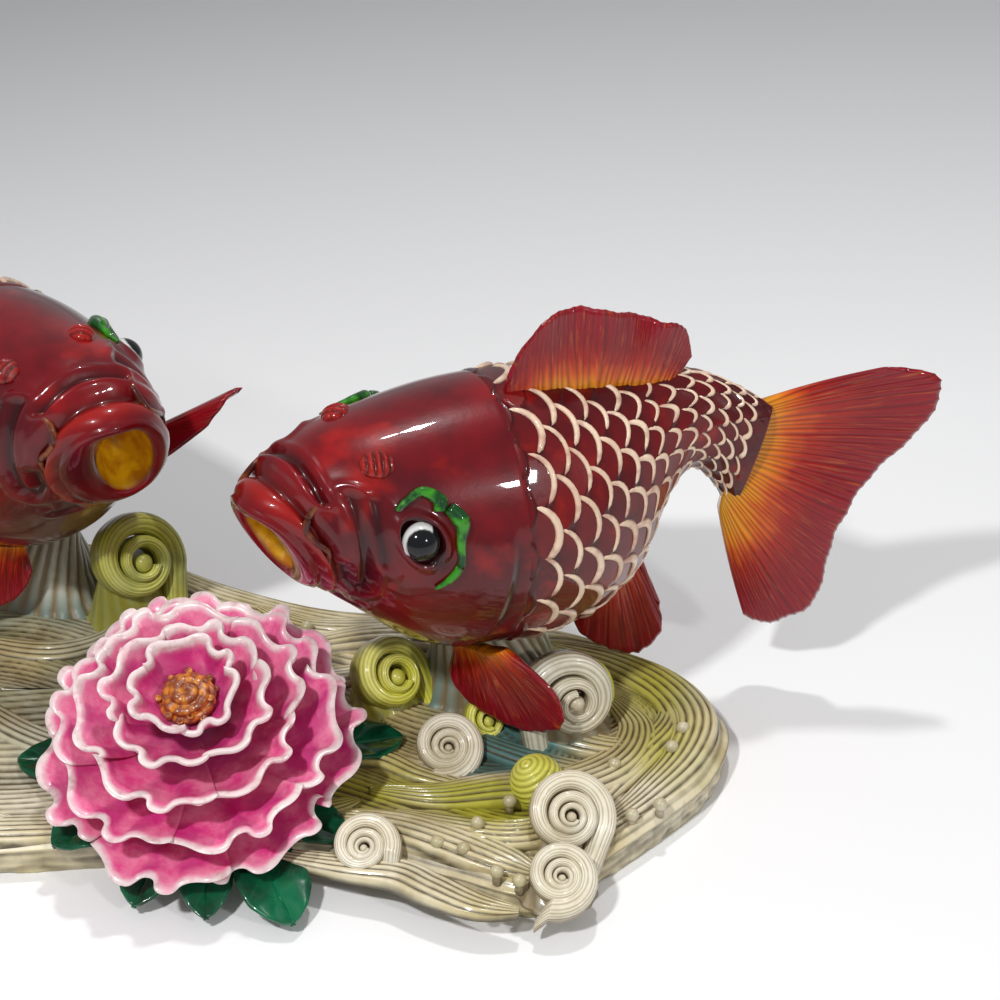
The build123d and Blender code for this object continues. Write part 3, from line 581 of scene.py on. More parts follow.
raised_ray_shares = np.array([
    (-0.190, 0.070, -0.150, -0.330, 0.060, -0.130), (-0.180, 0.080, -0.152, -0.420, 0.095, -0.050),
    (-0.168, 0.090, -0.154, -0.480, 0.130, 0.020), (-0.155, 0.098, -0.156, -0.490, 0.165, 0.030),
    (-0.142, 0.106, -0.158, -0.430, 0.190, -0.020), (-0.130, 0.112, -0.160, -0.330, 0.200, -0.090),
    (-0.118, 0.118, -0.162, -0.230, 0.190, -0.150)]).reshape(-1, 2, 3)
anal_ray_shares = np.array([
    (0.150, 0.048, -0.160, 0.117, 0.040, -0.317), (0.165, 0.052, -0.155, 0.155, 0.045, -0.350),
    (0.180, 0.056, -0.148, 0.200, 0.052, -0.383), (0.192, 0.060, -0.140, 0.240, 0.060, -0.400),
    (0.203, 0.063, -0.132, 0.275, 0.066, -0.392), (0.213, 0.066, -0.124, 0.302, 0.070, -0.350),
    (0.222, 0.068, -0.116, 0.298, 0.072, -0.300), (0.230, 0.070, -0.108, 0.270, 0.072, -0.262),
]).reshape(-1, 2, 3)

# Places on the skin: share of the length, and angle round the body (0 the viewer's side, 90 the back)
EYE_PLACE = (0.194, 23.0)
NOSTRIL_PLACE = (0.158, 64.0)
brow_places = ((0.158, 39.0), (0.180, 43.0), (0.210, 46.5), (0.236, 42.0), (0.234, 37.0))
hook_places = ((0.252, 38.0), (0.270, 31.0), (0.264, 22.0), (0.262, 13.0), (0.242, 6.0), (0.212, 0.0))
barbel_places = ((0.056, 52.0), (0.036, 50.0), (0.018, 40.0), (0.020, 27.0), (0.028, 16.0), (0.020, 3.0))
gill_places = ((0.392, 75.0), (0.385, 52.0), (0.372, 25.0), (0.362, 5.0), (0.345, -20.0), (0.315, -52.0),
               (0.27, -80.0))
cheek_places = ((0.100, 50.0), (0.094, 30.0), (0.086, 5.0), (0.078, -14.0), (0.062, -23.0), (0.046, -16.0),
                (0.046, 0.0))
cheek_fold_places = ((0.128, 44.0), (0.120, 28.0), (0.118, 10.0))
snout_fold_places = ((0.066, 92.0), (0.062, 70.0), (0.058, 54.0))
chin_fold_places = ((0.030, -45.0), (0.052, -58.0), (0.075, -50.0))
EYE_HOLLOW_PLACE = (0.222, 14.0)
UPPER_LIP_SHARE = 0.029
# Folds of the head: places, depth and width (millimetres), and width of the painted shade in it
head_folds = ((cheek_places, 2.0, 1.8, 1.9), (cheek_fold_places, 1.1, 2.2, 2.0),
              (snout_fold_places, 1.5, 1.1, 1.2), (chin_fold_places, 1.6, 1.6, 1.8))


def read(values, share):
    """A station table at any shares, as a cubic with mean end slopes"""
    share = np.asarray(share, float)
    values = np.asarray(values, float)
    last = len(stations) - 1
    index = np.arange(last + 1)
    low, high = np.maximum(index - 1, 0), np.minimum(index + 1, last)
    extra = (...,) + (None,) * (values.ndim - 1)
    slopes = (values[high] - values[low]) / (stations[high] - stations[low])[extra]
    here = np.clip(np.searchsorted(stations, share, side="right") - 1, 0, last - 1)
    gap = stations[here + 1] - stations[here]
    t, gap = ((share - stations[here]) / gap)[extra], gap[extra]
    return (values[here] * (1 - 3 * t**2 + 2 * t**3) + values[here + 1] * (3 * t**2 - 2 * t**3)
            + (slopes[here] * t * (1 - t) ** 2 - slopes[here + 1] * t**2 * (1 - t)) * gap)


def rotation(axis, angle):
    """Turning matrix about a unit axis, by Rodrigues' rule"""
    x, y, z = axis
    cross = np.array([[0, -z, y], [z, 0, -x], [-y, x, 0]])
    return np.eye(3) + np.sin(angle) * cross + (1 - np.cos(angle)) * cross @ cross


class Carp:
    """Where a carp is, and the frames along its spine"""

    def __init__(self, name, side, turn, nose_up, centre):
        self.name = name
        across = (-np.sin(MEAN_HEADING), np.cos(MEAN_HEADING), 0)
        tilt = rotation(across, np.radians(nose_up))
        self.matrix = rotation((0, 0, 1), np.radians(turn)) @ np.diag([side, 1, 1]) @ tilt
        self.centre = np.array(centre) * MM

    def node(self, part):
        """Name of one of its CAD nodes"""
        return f"carp_{self.name}_{part}"

    def place(self, shares):
        """Points from shares of the length, turned and set where the carp is"""
        return self.centre + (np.asarray(shares) * CARP_LENGTH) @ self.matrix.T

    def frame(self, share):
        """Centre, forward, outward, upward and half sizes at any shares of the length"""
        heading, rise = read(headings, share), read(rises, share)
        forward = np.stack([np.cos(heading) * np.cos(rise), np.sin(heading) * np.cos(rise),
                            np.sin(rise)], -1)
        level = np.stack([np.sin(heading), -np.cos(heading), 0 * heading], -1)
        upright = -np.cross(forward, level)
        outward = level * np.cos(BODY_ROLL) - upright * np.sin(BODY_ROLL)
        upward = upright * np.cos(BODY_ROLL) + level * np.sin(BODY_ROLL)
        turned = (v @ self.matrix.T for v in (forward, outward, upward))
        return (self.place(read(spine_shares, share)), *turned,
                read(width_shares, share) * CARP_WIDTH / 2, read(height_shares, share) * CARP_HEIGHT / 2)

    def skin(self, share, angle, lift=0.0):
        """Points of the skin at shares and angles, lifted off it"""
        share, angle = np.broadcast_arrays(np.asarray(share, float), np.asarray(angle, float))
        centre, _, outward, upward, half_width, half_height = self.frame(share)
        turn = np.radians(angle)
        wide, tall = (half_width + lift) * np.cos(turn), (half_height + lift) * np.sin(turn)
        return centre + outward * wide[..., None] + upward * tall[..., None]

    def out(self, share, angle):
        """Unit directions that leave the skin"""
        return unit(self.skin(share, angle, 1 * MM) - self.skin(share, angle))


RIGHT_CARP = Carp("right", 1, 0.0, 0.0, (102.4, 18.0, 89.0))
LEFT_CARP = Carp("left", -1, -20.0, 3.0, (-86.3, 80.1, 89.9))


def near_angle(angle):
    """An angle round the body folded onto the viewer's side, -90 to 90"""
    angle = (np.asarray(angle) + 90) % 360 - 90
    return np.where(angle > 90, 180 - angle, angle)


def girth_radius(share):
    """Mean of the half width and the half height"""
    return (read(width_shares, share) * CARP_WIDTH + read(height_shares, share) * CARP_HEIGHT) / 4


def flat(share, angle):
    """Skin places laid out flat, in metres along the body and round it"""
    return np.asarray(share) * CARP_LENGTH, np.radians(angle) * girth_radius(share)


def line_distance(share, angle, places):
    """Distance on the skin from a line through skin places, in millimetres"""
    x, y = flat(share, near_angle(angle))
    line = np.stack(flat(*np.array(places, float).T), -1)
    nearest = np.full(x.shape, 1.0)
    for (ax, ay), (bx, by) in zip(line[:-1], line[1:]):
        t = np.clip(((x - ax) * (bx - ax) + (y - ay) * (by - ay)) / ((bx - ax) ** 2 + (by - ay) ** 2), 0, 1)
        nearest = np.minimum(nearest, np.hypot(x - ax - t * (bx - ax), y - ay - t * (by - ay)))
    return nearest / MM


def spot_distance(share, angle, place):
    """Distance on the skin from a skin place, in millimetres"""
    x, y = flat(share, near_angle(angle))
    cx, cy = flat(*place)
    return np.hypot(x - cx, y - cy) / MM


def gill_edge(angle):
    """Share of the length where the gill plate ends, at an angle round the body"""
    shares, angles = np.array(gill_places).T
    return np.interp(near_angle(angle), angles[::-1], shares[::-1])


def head_relief(share, angle):
    """Height of the head's modelling over the smooth body: lips, folds, socket and gill plate"""
    near = near_angle(angle)
    edge = gill_edge(angle)
    plate = 1.5 * ease(34, 2, near) * ease(edge - 0.16, edge - 0.02, share)
    plate = plate * (1 - ease(edge - 0.004, edge + 0.016, share))
    hairs = (ease(edge - 0.070, edge - 0.02, share) * (1 - ease(edge - 0.004, edge, share))
             * ease(18, -6, near))
    combed = -0.30 * hairs * ripple(near / 3.2 + share * 14)
    lips = 2.0 * bump(share, 0.010, 0.015) + 1.5 * bump(share, 0.047, 0.012) * ease(-10, 30, near)
    folds = (-1.6 * bump(share, UPPER_LIP_SHARE, 0.006) * ease(-50, -10, near)
             - 1.2 * bump(share, 0.038, 0.006) * ease(62, 80, near))
    for places, depth, width, _ in head_folds:
        away = line_distance(share, angle, places)
        folds = folds - depth * bump(away, 0, width) + 0.45 * depth * bump(away, 2.2 * width, width)
    eye = spot_distance(share, angle, EYE_PLACE)
    hollow = 2.2 * bump(spot_distance(share, angle, EYE_HOLLOW_PLACE), 0, 2.6) * ease(6.4, 8.4, eye)
    socket = 1.5 * bump(eye, 8.3, 1.5) - 1.8 * ease(7.6, 6.0, eye) - hollow
    return (plate + combed + lips + folds + socket) * MM


def head_fold(share, angle):
    """How deep in a fold a place of the head is, 0 to 1, for the painted shade there"""
    near = near_angle(angle)
    folds = [0.7 * bump(share, UPPER_LIP_SHARE, 0.007) * ease(-50, -10, near),
             0.95 * ease(8.6, 7.0, spot_distance(share, angle, EYE_PLACE)),
             0.95 * bump(spot_distance(share, angle, EYE_HOLLOW_PLACE), 0, 4.0),
             0.9 * bump(share, gill_edge(angle) + 0.012, 0.008) * ease(26, 4, near)]
    for places, _, _, width in head_folds:
        folds.append(0.85 * bump(line_distance(share, angle, places), 0, width))
    return np.max(folds, 0)


# Rounds of the open mouth: reach out of the lips (millimetres) and share of the lip ring
mouth_rounds = np.array([(-20.0, 0.02), (-19.0, 0.30), (-15.0, 0.50), (-9.0, 0.64), (-3.5, 0.72),
                         (0.0, 0.76), (1.6, 0.80), (2.5, 0.86), (2.3, 0.94), (1.3, 1.01)])
HEAD_END = 0.43
HEAD_STEPS = 290
SKIN_OVERLAP = 3 * MM


def make_head(carp, paint):
    """Head skin: ovals round the spine, lifted by the relief, with the open mouth inside them"""
    angle = circle(HEAD_STEPS)[None, :] * 360 / TAU
    share = np.linspace(0.0, HEAD_END, HEAD_STEPS)[:, None]
    lift = head_relief(share, angle) * ease(HEAD_END, HEAD_END - 0.02, share)
    lift = lift - 0.7 * MM * ease(0.395, HEAD_END, share)
    knob = 3.0 * MM * bump(share, 0.0, 0.022) * bump(angle, 90, 34)
    hub, forward, outward, *_ = carp.frame(np.array([[0.0]]))
    skin = carp.skin(share, angle, lift) - knob[..., None] * forward
    reach, wide = mouth_rounds.T[:, :, None, None]
    offset = (skin[:1] - hub) * wide
    across = (offset * outward).sum(-1, keepdims=True)
    inwards = ease(0.98, 0.78, wide) * (0.34 * across + 3.6 * MM)
    mouth = hub + offset - outward * inwards - forward * reach * MM
    rows = np.concatenate([mouth, skin, carp.skin(HEAD_END, angle, -SKIN_OVERLAP)])

    def mark(inside, outside):
        """A mark of the mouth's rounds, then of the skin, then 0 for the hidden last row"""
        inside = np.broadcast_to(inside, (len(mouth), HEAD_STEPS))
        return np.concatenate([inside, outside + 0 * lift, 0 * lift[:1]])

    # Marks: painted shade in the folds and deep in the mouth, the gold lining, and a painted highlight
    # round the lips
    head = Surface().add(rows, fold=mark(ease(0.50, 0.1, wide[..., 0]), head_fold(share, angle)),
                         gold=mark(ease(0.80, 0.74, wide[..., 0]), 0.0),
                         glow=mark(0.0, 0.35 * bump(share, 0.02, 0.012)))
    head.piece(carp.node("head"), paint, "carp_red", carp.node("body"))


# Lattice of scales: rows round the body, columns along it between two shares of the length,
# and half sizes of a scale in lattice steps
SCALE_ROWS = 17
SCALE_COLUMNS = 15
FIRST_SCALE = 0.405
LAST_SCALE = 0.985
SCALE_LONG = 1.35
SCALE_TALL = 0.60
TRUNK_STEPS = 240
# Where the dorsal fin stands: shares of the length, and angle each side of the back
DORSAL_SHARES = (0.42, 0.82)
DORSAL_HALF_ANGLE = 9


def scale_share(column):
    """Share of the length at a column of scales; columns close up towards the tail"""
    t = np.asarray(column, float) / SCALE_COLUMNS
    return FIRST_SCALE + (LAST_SCALE - FIRST_SCALE) * (1.28 * t - 0.28 * t**2)


def scale_column(share):
    """The column, whole or part, at a share of the length"""
    columns = np.linspace(-2, SCALE_COLUMNS + 3, 200)
    return np.interp(share, scale_share(columns), columns)


def trunk_relief(share, angle):
    """Overlapping scales: each is a tilted plate whose edge is an arc of a lattice cell"""
    column, row = scale_column(share), np.asarray(angle) / 360 * SCALE_ROWS
    height, done = 0 * (column + row), column + row > np.inf
    fold = height + 1
    for step in (-2, -1, 0, 1):
        middle = np.floor(column) + step
        sideways = (row - 0.5 * (middle % 2) + 0.5) % 1 - 0.5
        reach = np.hypot(np.maximum(column - middle, 0) / SCALE_LONG, sideways / SCALE_TALL)
        inside = (reach < 1) & ~done
        height = np.where(inside, 0.25 + 0.75 * reach**2, height)
        # The fold value: dark along each scale's edge, partly real outline paint and partly painted shade,
        # and painted shade in its low root
        fold = np.where(inside, ease(0.88, 1.0, reach) * 0.9 + ease(0.45, 0.0, reach) * 0.55, fold)
        done |= inside
    grow = ease(FIRST_SCALE - 0.020, FIRST_SCALE + 0.010, share)
    height = (height * 0.9 - 0.35) * ease(1.0, 0.97, share) * grow - 1.0 * (1 - grow)
    return height * MM, fold * ease(1.0, 0.97, share) * grow


def make_trunk(carp, paint):
    """Trunk skin: the body with its plates of scales, from behind the gills to the tail root"""
    angle = circle(TRUNK_STEPS)[None, :] * 360 / TAU
    share = np.linspace(FIRST_SCALE - 0.045, 1.0, TRUNK_STEPS)[:, None]
    height, fold = trunk_relief(share, angle)
    rows = np.concatenate([carp.skin(share[:1], angle, -SKIN_OVERLAP), carp.skin(share, angle, height)])
    trunk = Surface().add(rows, fold=np.concatenate([fold[:1], fold]))
    trunk.piece(carp.node("trunk"), paint, "carp_red")


def make_scale_edges(carp, paint):
    """Raised cream strokes: an arc of each scale's edge, round in section, thick below its middle

    Column and row give the scale's centre in the lattice. The arc runs over 55 to 71 degrees
    each way from the tail side of an oval of SCALE_LONG columns by SCALE_TALL rows, and its
    half width follows the square root of 1 - |sweep| to the power 2.6.
    """
    column, row = np.meshgrid(np.arange(SCALE_COLUMNS), np.arange(SCALE_ROWS), indexing="ij")
    column, row = column.ravel()[:, None, None], row.ravel()[:, None, None]
    dice = np.random.default_rng(11)
    wobble = dice.uniform(-1, 1, (len(column), 5, 1, 1)).swapaxes(0, 1)
    sweep = np.linspace(-1, 1, 11)[None, :, None]
    cross = np.linspace(0, np.pi, 5)[None, None, :]
    rising = np.sign(np.cos(row / SCALE_ROWS * TAU))
    arc = sweep * np.radians(63 + 8 * wobble[0]) + 0.10 * wobble[1] + 0.24 * rising
    reach = 0.98 + 0.05 * wobble[2]
    middle_column = column + SCALE_LONG * reach * np.cos(arc) * (1 - 0.06 * sweep * wobble[4])
    around = row + 0.5 * (column % 2) + SCALE_TALL * reach * np.sin(arc)
    stroke = rounded(sweep, 2.6, 0.02) * (1 - 0.20 * sweep) * (1.12 + 0.22 * wobble[3])
    share = scale_share(middle_column)
    size = read(height_shares, np.clip(share, 0, 1))
    half = stroke * (0.34 + 0.98 * size) * MM
    offset = half * np.cos(cross)
    share = np.clip(share + offset * np.cos(arc) / CARP_LENGTH, 0, 1)
    angle = around / SCALE_ROWS * 360 + np.degrees(offset * np.sin(arc) / girth_radius(share))
    points = carp.skin(share, angle, 0.05 * MM + 0.95 * np.sin(cross) * half)
    fade = np.broadcast_to(np.abs(sweep), points.shape[:-1])
    middle_share, middle_angle = share[:, 5, 2], angle[:, 5, 2]
    start, end = DORSAL_SHARES
    near_top = np.abs(near_angle(middle_angle) - 90) < DORSAL_HALF_ANGLE
    keep = (middle_share < LAST_SCALE) & ~(near_top & (middle_share > start) & (middle_share < end))
    edges = Surface().add(points[keep], fade=fade[keep])
    edges.piece(carp.node("scale_edges"), paint, "wave_cream")


# Share of the length of the frame that a fin is mirrored in
FIN_MIRROR_SHARE = 0.36


def ray_fan(carp, ray_shares, count, mirrored):
    """Roots and tips of a fin's rays, drawn through the few set ones"""
    places = carp.place(ray_shares)
    if mirrored:
        centre, _, outward, *_ = carp.frame(np.array(FIN_MIRROR_SHARE))
        places = places - 2 * ((places - centre) @ outward)[..., None] * outward
    return smooth_path(places[:, 0], count), smooth_path(places[:, 1], count)


# Fins: count of rays, thickness at root and edge and sideways bow (millimetres), shift of the amber
fin_sizes = {
    "dorsal_fin": (30, 4.2, 1.8, 1.6, 0.0),
    "tail_fin": (38, 6.5, 2.2, 1.8, -0.05),
    "pectoral_near": (15, 4.6, 2.0, 0.8, 0.16),
    "pectoral_far": (15, 4.6, 2.0, 0.8, 0.04),
    "anal_fin": (14, 4.6, 2.0, 0.6, -0.02),
}


def make_fin(carp, part, paint, ray_shares, mirrored):
    """Fin blade: rows of fine rays from root to edge, bowed sideways, with a rounded edge

    A ray ridge is the absolute sine of the place across, warped by a slow noise so that rays
    wander and fork; the blade's thickness falls from root to edge and rounds off at the rim.
    """
    rays, thick, edge_thick, bow, shift = fin_sizes[part]
    count = rays * 9
    roots, tips = ray_fan(carp, ray_shares, count, mirrored)
    along = np.linspace(0, 1, 36)[None, :]
    across = np.linspace(0, 1, count)[:, None]
    span = tips - roots
    notch = 1 - 0.010 * ripple(across * rays) ** 0.5 - 0.018 * noise(across * 34, 0 * across, 5)
    notch = notch - 0.16 * np.abs(2 * across - 1) ** 14
    middle = roots[:, None] + span[:, None] * (along * notch)[..., None]
    normal = unit(np.cross(span[0], span[-1]))
    sway = bow * (np.sin(np.pi * along * 0.9) * np.sin(np.pi * across * 2.0 + 0.6)
                  + 0.5 * along**2 * np.sin(across * 21)) * MM
    curl = 0.022 * np.sin(np.pi * along) * (across - 0.5) * np.linalg.norm(span, axis=-1)[:, None]
    middle = middle + normal * sway[..., None] + unit(np.gradient(tips, axis=0))[:, None] * curl[..., None]
    warped = across * rays + 0.55 * noise(across * 30, along * 5, 31) + 0.25 * along
    forked = 0.6 * ease(0.35, 0.6, along)
    ridge = ripple(warped) * (1 - forked) + ripple(warped * 2) * forked
    rim = rounded_rim(along)
    thickness = (thick + (edge_thick - thick) * along**0.7) * MM * rim * rounded(2 * across - 1, 12, 0.05)
    thickness = thickness + 0.45 * MM * (ridge - 0.5) * rim * ease(0.0, 0.15, along)
    # The fold mark is the grooves between the rays, for the painted shade there
    fin = Surface().add(skin_both_sides(middle, thickness), ends="strip",
                        along=both_ways(along + 0 * across), across=both_ways(warped / rays),
                        fold=both_ways((1 - ridge) * 0.8), shift=shift)
    fin.painted(carp.node(part), paint, "fin_red")


TRIM_STEPS = 40


def make_trim(carp, part, paint, slot, *strands):
    """Raised cords on both sides of the skin: skin places and the radii (millimetres) along them"""
    trim = Surface()
    at = np.linspace(0, 1, TRIM_STEPS)
    for places, radii in strands:
        share, angle = smooth_path(places, TRIM_STEPS).T
        radius = np.interp(at, np.linspace(0, 1, len(radii)), radii) * MM
        for turn in (angle, 180 - angle):
            trim.add(tube(carp.skin(share, turn, 1 * MM), radius, 14))
    trim.painted(carp.node(part), paint, slot)


def make_eyes(carp, paint):
    """Eye domes; the white mark grows towards the upper front, the rim mark towards the socket"""
    eyes = Surface()
    share, angle = np.array(EYE_PLACE)
    _, backward, _, upward, *_ = carp.frame(share)
    forward = -backward
    for turn in (angle, 180 - angle):
        outwards = carp.out(share, turn)
        centre = carp.skin(share, turn, -EYE_SINK_SHARE * 2 * EYE_RADIUS)
        side = unit(np.cross(upward, outwards))
        top = np.cross(outwards, side)
        points = ball(centre, EYE_RADIUS, 40, 60, (side, top, outwards))
        away = (points - centre) / EYE_RADIUS
        iris = unit(outwards + forward * 0.26 + UP * 0.02)
        above = unit(forward * 0.80 + UP * 1.05)
        white = ease(-0.03, 0.03, np.minimum(0.64 - away @ iris, away @ above - 0.30))
        # The rim mark grows towards the socket, for the painted shade there
        eyes.add(points, white=white, rim=1 - away @ outwards)
    eyes.painted(carp.node("eyes"), paint, "eye_glass")


NOSTRIL_RADIUS = 5.4 * MM
NOSTRIL_HEIGHT = 3.3 * MM
NOSTRIL_SINK = 0.4 * MM


def make_nostrils(carp, paint):
    """Rosettes: a low ribbed dome with seven lobes"""
    rosettes = Surface()
    share, angle = np.array(NOSTRIL_PLACE)
    lat = np.linspace(0.03, np.pi * 0.55, 24)[:, None]
    lon = circle(84)[None, :]
    ridge = ripple(np.sin(lat) * np.cos(lon) * 2.3 + 0.5 + 0.10 * np.sin(lat) * np.sin(lon))
    radius = NOSTRIL_RADIUS * (1 + 0.07 * ripple(lon / TAU * 7))
    for turn in (angle, 180 - angle):
        outwards = carp.out(share, turn)
        side = unit(np.cross(np.array([0.1, 0.2, 1.0]), outwards))
        axes = (side, np.cross(outwards, side), outwards)
        points = dome(carp.skin(share, turn, -NOSTRIL_SINK), lat, lon, axes,
                      (radius, radius * 0.82, NOSTRIL_HEIGHT * (0.58 + 0.42 * ridge)))
        # Painted shade in the grooves between the ridges, and a painted highlight over the whole rosette
        rosettes.add(points, fold=(1 - ridge) * 0.9, gold=0.0, glow=0.35)
    rosettes.painted(carp.node("nostrils"), paint, "carp_red")


def dress_carp(carp, paints):
    """All the pieces of one carp"""
    make_head(carp, paints["carp_red"])
    make_trunk(carp, paints["scale_red"])
    make_scale_edges(carp, paints["scale_edge_cream"])
    right = carp is RIGHT_CARP
    for part, ray_shares in (("dorsal_fin", dorsal_ray_shares), ("tail_fin", tail_ray_shares),
                             ("pectoral_near", lowered_ray_shares),
                             ("pectoral_far", lowered_ray_shares if right else raised_ray_shares),
                             ("anal_fin", anal_ray_shares)):
        make_fin(carp, part, paints["fin_lacquer"], ray_shares, right and part == "pectoral_far")
    make_trim(carp, "brow_scrolls", paints["brow_green"], "trim_green",
              (brow_places, (0.7, 1.2, 1.3, 1.8, 2.5, 1.9)),
              (hook_places, (2.1, 2.9, 1.6, 1.2, 1.4, 1.2, 0.5)))
    make_trim(carp, "barbels", paints["barbel_brown"], "barbel_brown",
              (barbel_places, (0.6, 1.1, 1.2, 1.1, 0.9, 0.4)))
    make_eyes(carp, paints["eye_enamel"])
    make_nostrils(carp, paints["carp_red"])


# Peony

def peony_axes():
    """Two directions across the flower and its own axis, which leans to the front"""
    lean = np.radians(PEONY_TILT)
    return (np.array([1.0, 0, 0]), np.array([0, np.cos(lean), np.sin(lean)]),
            np.array([0, -np.sin(lean), np.cos(lean)]))


def on_flower(radius, turn, height):
    """Points at a radius and a turn round the flower's axis, and a height along it"""
    x, y, z = peony_axes()
    return (PEONY_CENTRE + (radius * np.cos(turn))[..., None] * x
            + (radius * np.sin(turn))[..., None] * y + height[..., None] * z)


def stem_foot():
    """Where the flower's axis meets the top of the base"""
    axis = peony_axes()[2]
    return PEONY_CENTRE - axis * (PEONY_CENTRE[2] - BASE_THICKNESS) / axis[2]


# Tiers: how many petals; radius and height (shares of the flower's) of the rim, middle and heel
petal_tiers = (
    ("petals_outer", 7, (1.0, 0.0), (0.56, -0.200), (0.09, -0.150)),
    ("petals_second", 6, (0.86, 0.33), (0.50, 0.060), (0.09, 0.030)),
    ("petals_third", 5, (0.68, 0.63), (0.40, 0.290), (0.09, 0.210)),
    ("petals_fourth", 4, (0.49, 0.87), (0.30, 0.540), (0.08, 0.400)),
    ("petals_inner", 3, (0.31, 1.02), (0.22, 0.730), (0.07, 0.580)),
)
PETAL_OVERLAP = 1.10
PETAL_WAVES = 3
PETAL_THICKNESS = 1.7 * MM
PALE_RIM_WIDTH = 4.2 * MM


def make_petals(paint, tier, name, count, rim, middle, heel):
    """One tier of ruffled petals

    Each petal is a parabola from heel through middle to rim. Its outer part is waved outwards,
    upwards and round by sines that grow with the power 2.4 of the way out.
    """
    dice = np.random.default_rng(40 + tier)
    petal = np.arange(count)[:, None, None]
    share = np.linspace(-1, 1, 100)[None, :, None]
    along = np.linspace(0, 1, 26)[None, None, :]
    phase = dice.uniform(0, TAU, (count, 1, 1))
    size = dice.uniform(-1, 1, (count, 1, 1))
    grow = along**2.4
    wave = np.pi * PETAL_WAVES * (share + 0.07 * np.sin(share * 4 + phase)) + phase
    ruffle = MM * grow * (0.60 + 0.40 * rim[0]) * (1 + 0.35 * np.sin(0.43 * wave + phase))
    crown = 1 - 0.09 * np.abs(share) ** 3 + 0.03 * size
    reach, rise = (heel[i] * (1 - along) * (1 - 2 * along) + middle[i] * 4 * along * (1 - along)
                   + rim[i] * along * (2 * along - 1) for i in (0, 1))
    rim_radius = rim[0] * PEONY_RADIUS
    turn = (petal * TAU / count + share * np.pi / count * PETAL_OVERLAP + tier * 0.9 + 0.08 * size
            - 0.55 * ruffle * np.sin(2 * wave) / rim_radius)
    radius = reach * PEONY_RADIUS * (1 - (1 - crown) * along) + 2.1 * ruffle * np.sin(wave)
    height = (rise * PEONY_HEIGHT + 0.9 * ruffle * np.sin(wave + 1.3)
              + (share + size - 0.3) * 1.2 * MM * along)
    lip = 1.0 + 0.22 * bump(along, 0.930, 0.09)
    thickness = PETAL_THICKNESS * lip * rounded_rim(along) * rounded(share, 20, 0.05)
    pale = (ease(0.0, 1.0, 1 - (1 - along) * rim_radius / PALE_RIM_WIDTH)
            + 0.2 * ease(0.92, 1.0, np.abs(share)) * along)
    # The hollow mark is the troughs of the ruffles, for the painted shade there
    petals = Surface().add(skin_both_sides(on_flower(radius, turn, height), thickness), ends="strip",
                           along=both_ways(along + 0 * turn), rim=both_ways(pale + 0 * turn),
                           hollow=both_ways(-np.sin(wave) * grow + 0 * turn))
    petals.painted(name, paint, "petal_pink")


HEART_RADIUS = 8.6 * MM
HEART_SEAT = 0.70 * PEONY_HEIGHT
STALKS = 22
# Profile of a stalk: shares of its length, and half widths in millimetres
stalk_profile = ((0.0, 0.9), (0.80, 0.9), (0.92, 1.25), (1.0, 1.15), (0.99, 0.70), (0.93, 0.35))


def make_stamens(paint):
    """Amber heart of the peony: a low lumpy dome in a spiral, with short blunt stalks round it"""
    axes = peony_axes()
    lat = np.linspace(0.02, np.pi * 0.62, 50)[:, None]
    lon = circle(110)[None, :]
    lumps = noise(lat * 9 + 0 * lon, np.cos(lon) * 4, 5) + ripple(lon / TAU * 11)
    size = HEART_RADIUS * (0.90 + 0.13 * ripple(lat * 1.9 + lon / TAU) + 0.05 * lumps * np.sin(lat))
    heart = Surface().add(dome(PEONY_CENTRE + axes[2] * HEART_SEAT, lat, lon, axes,
                               (size, size, size * 0.85)))
    index = np.arange(STALKS)
    radius = (7.4 + 1.9 * np.sin(index * 2.4)) * MM
    turn = (index + 0.3 * np.sin(index * 1.9)) * TAU / STALKS
    foot = on_flower(radius, turn, HEART_SEAT - 4.0 * MM + 0 * radius)
    tall = (7.0 + 1.8 * np.random.default_rng(3).uniform(-1, 1, STALKS)) * MM
    step, half_width = np.array(stalk_profile).T
    spin = circle(10)[:, None]
    ring = np.cos(spin) * axes[0] + np.sin(spin) * axes[1]
    heart.add(foot[:, None, None] + (tall[:, None] * step)[..., None, None] * axes[2]
              + (half_width * MM)[:, None, None] * ring)
    heart.piece("stamen_cluster", paint, "stamen_amber", "stamens")


# Leaves: direction in degrees, reach and width (shares of the flower's radius), and how far the
# tip falls (share of the base's thickness)
leaves = {
    "leaf_right": (14, 1.26, 0.40, 0.0),
    "leaf_front_right": (-36, 1.12, 0.34, 0.0),
    "leaf_front_large": (-62, 1.36, 0.44, 0.70),
    "leaf_front": (-84, 1.16, 0.34, 0.70),
    "leaf_front_left": (-107, 1.10, 0.36, 0.70),
    "leaf_left_front": (-140, 1.10, 0.40, 0.0),
    "leaf_left": (176, 1.22, 0.42, 0.0),
    "leaf_back": (120, 0.95, 0.38, 0.0),
}


# Half width of a leaf along its length
leaf_outline = ((0, 0.30, 0.45, 0.58, 0.72, 0.84, 0.93, 0.98, 1.0),
                (0.14, 0.22, 0.52, 0.84, 1.0, 0.92, 0.62, 0.30, 0.06))
LEAF_START = 9.8 * MM
LEAF_THICKNESS = 1.6 * MM


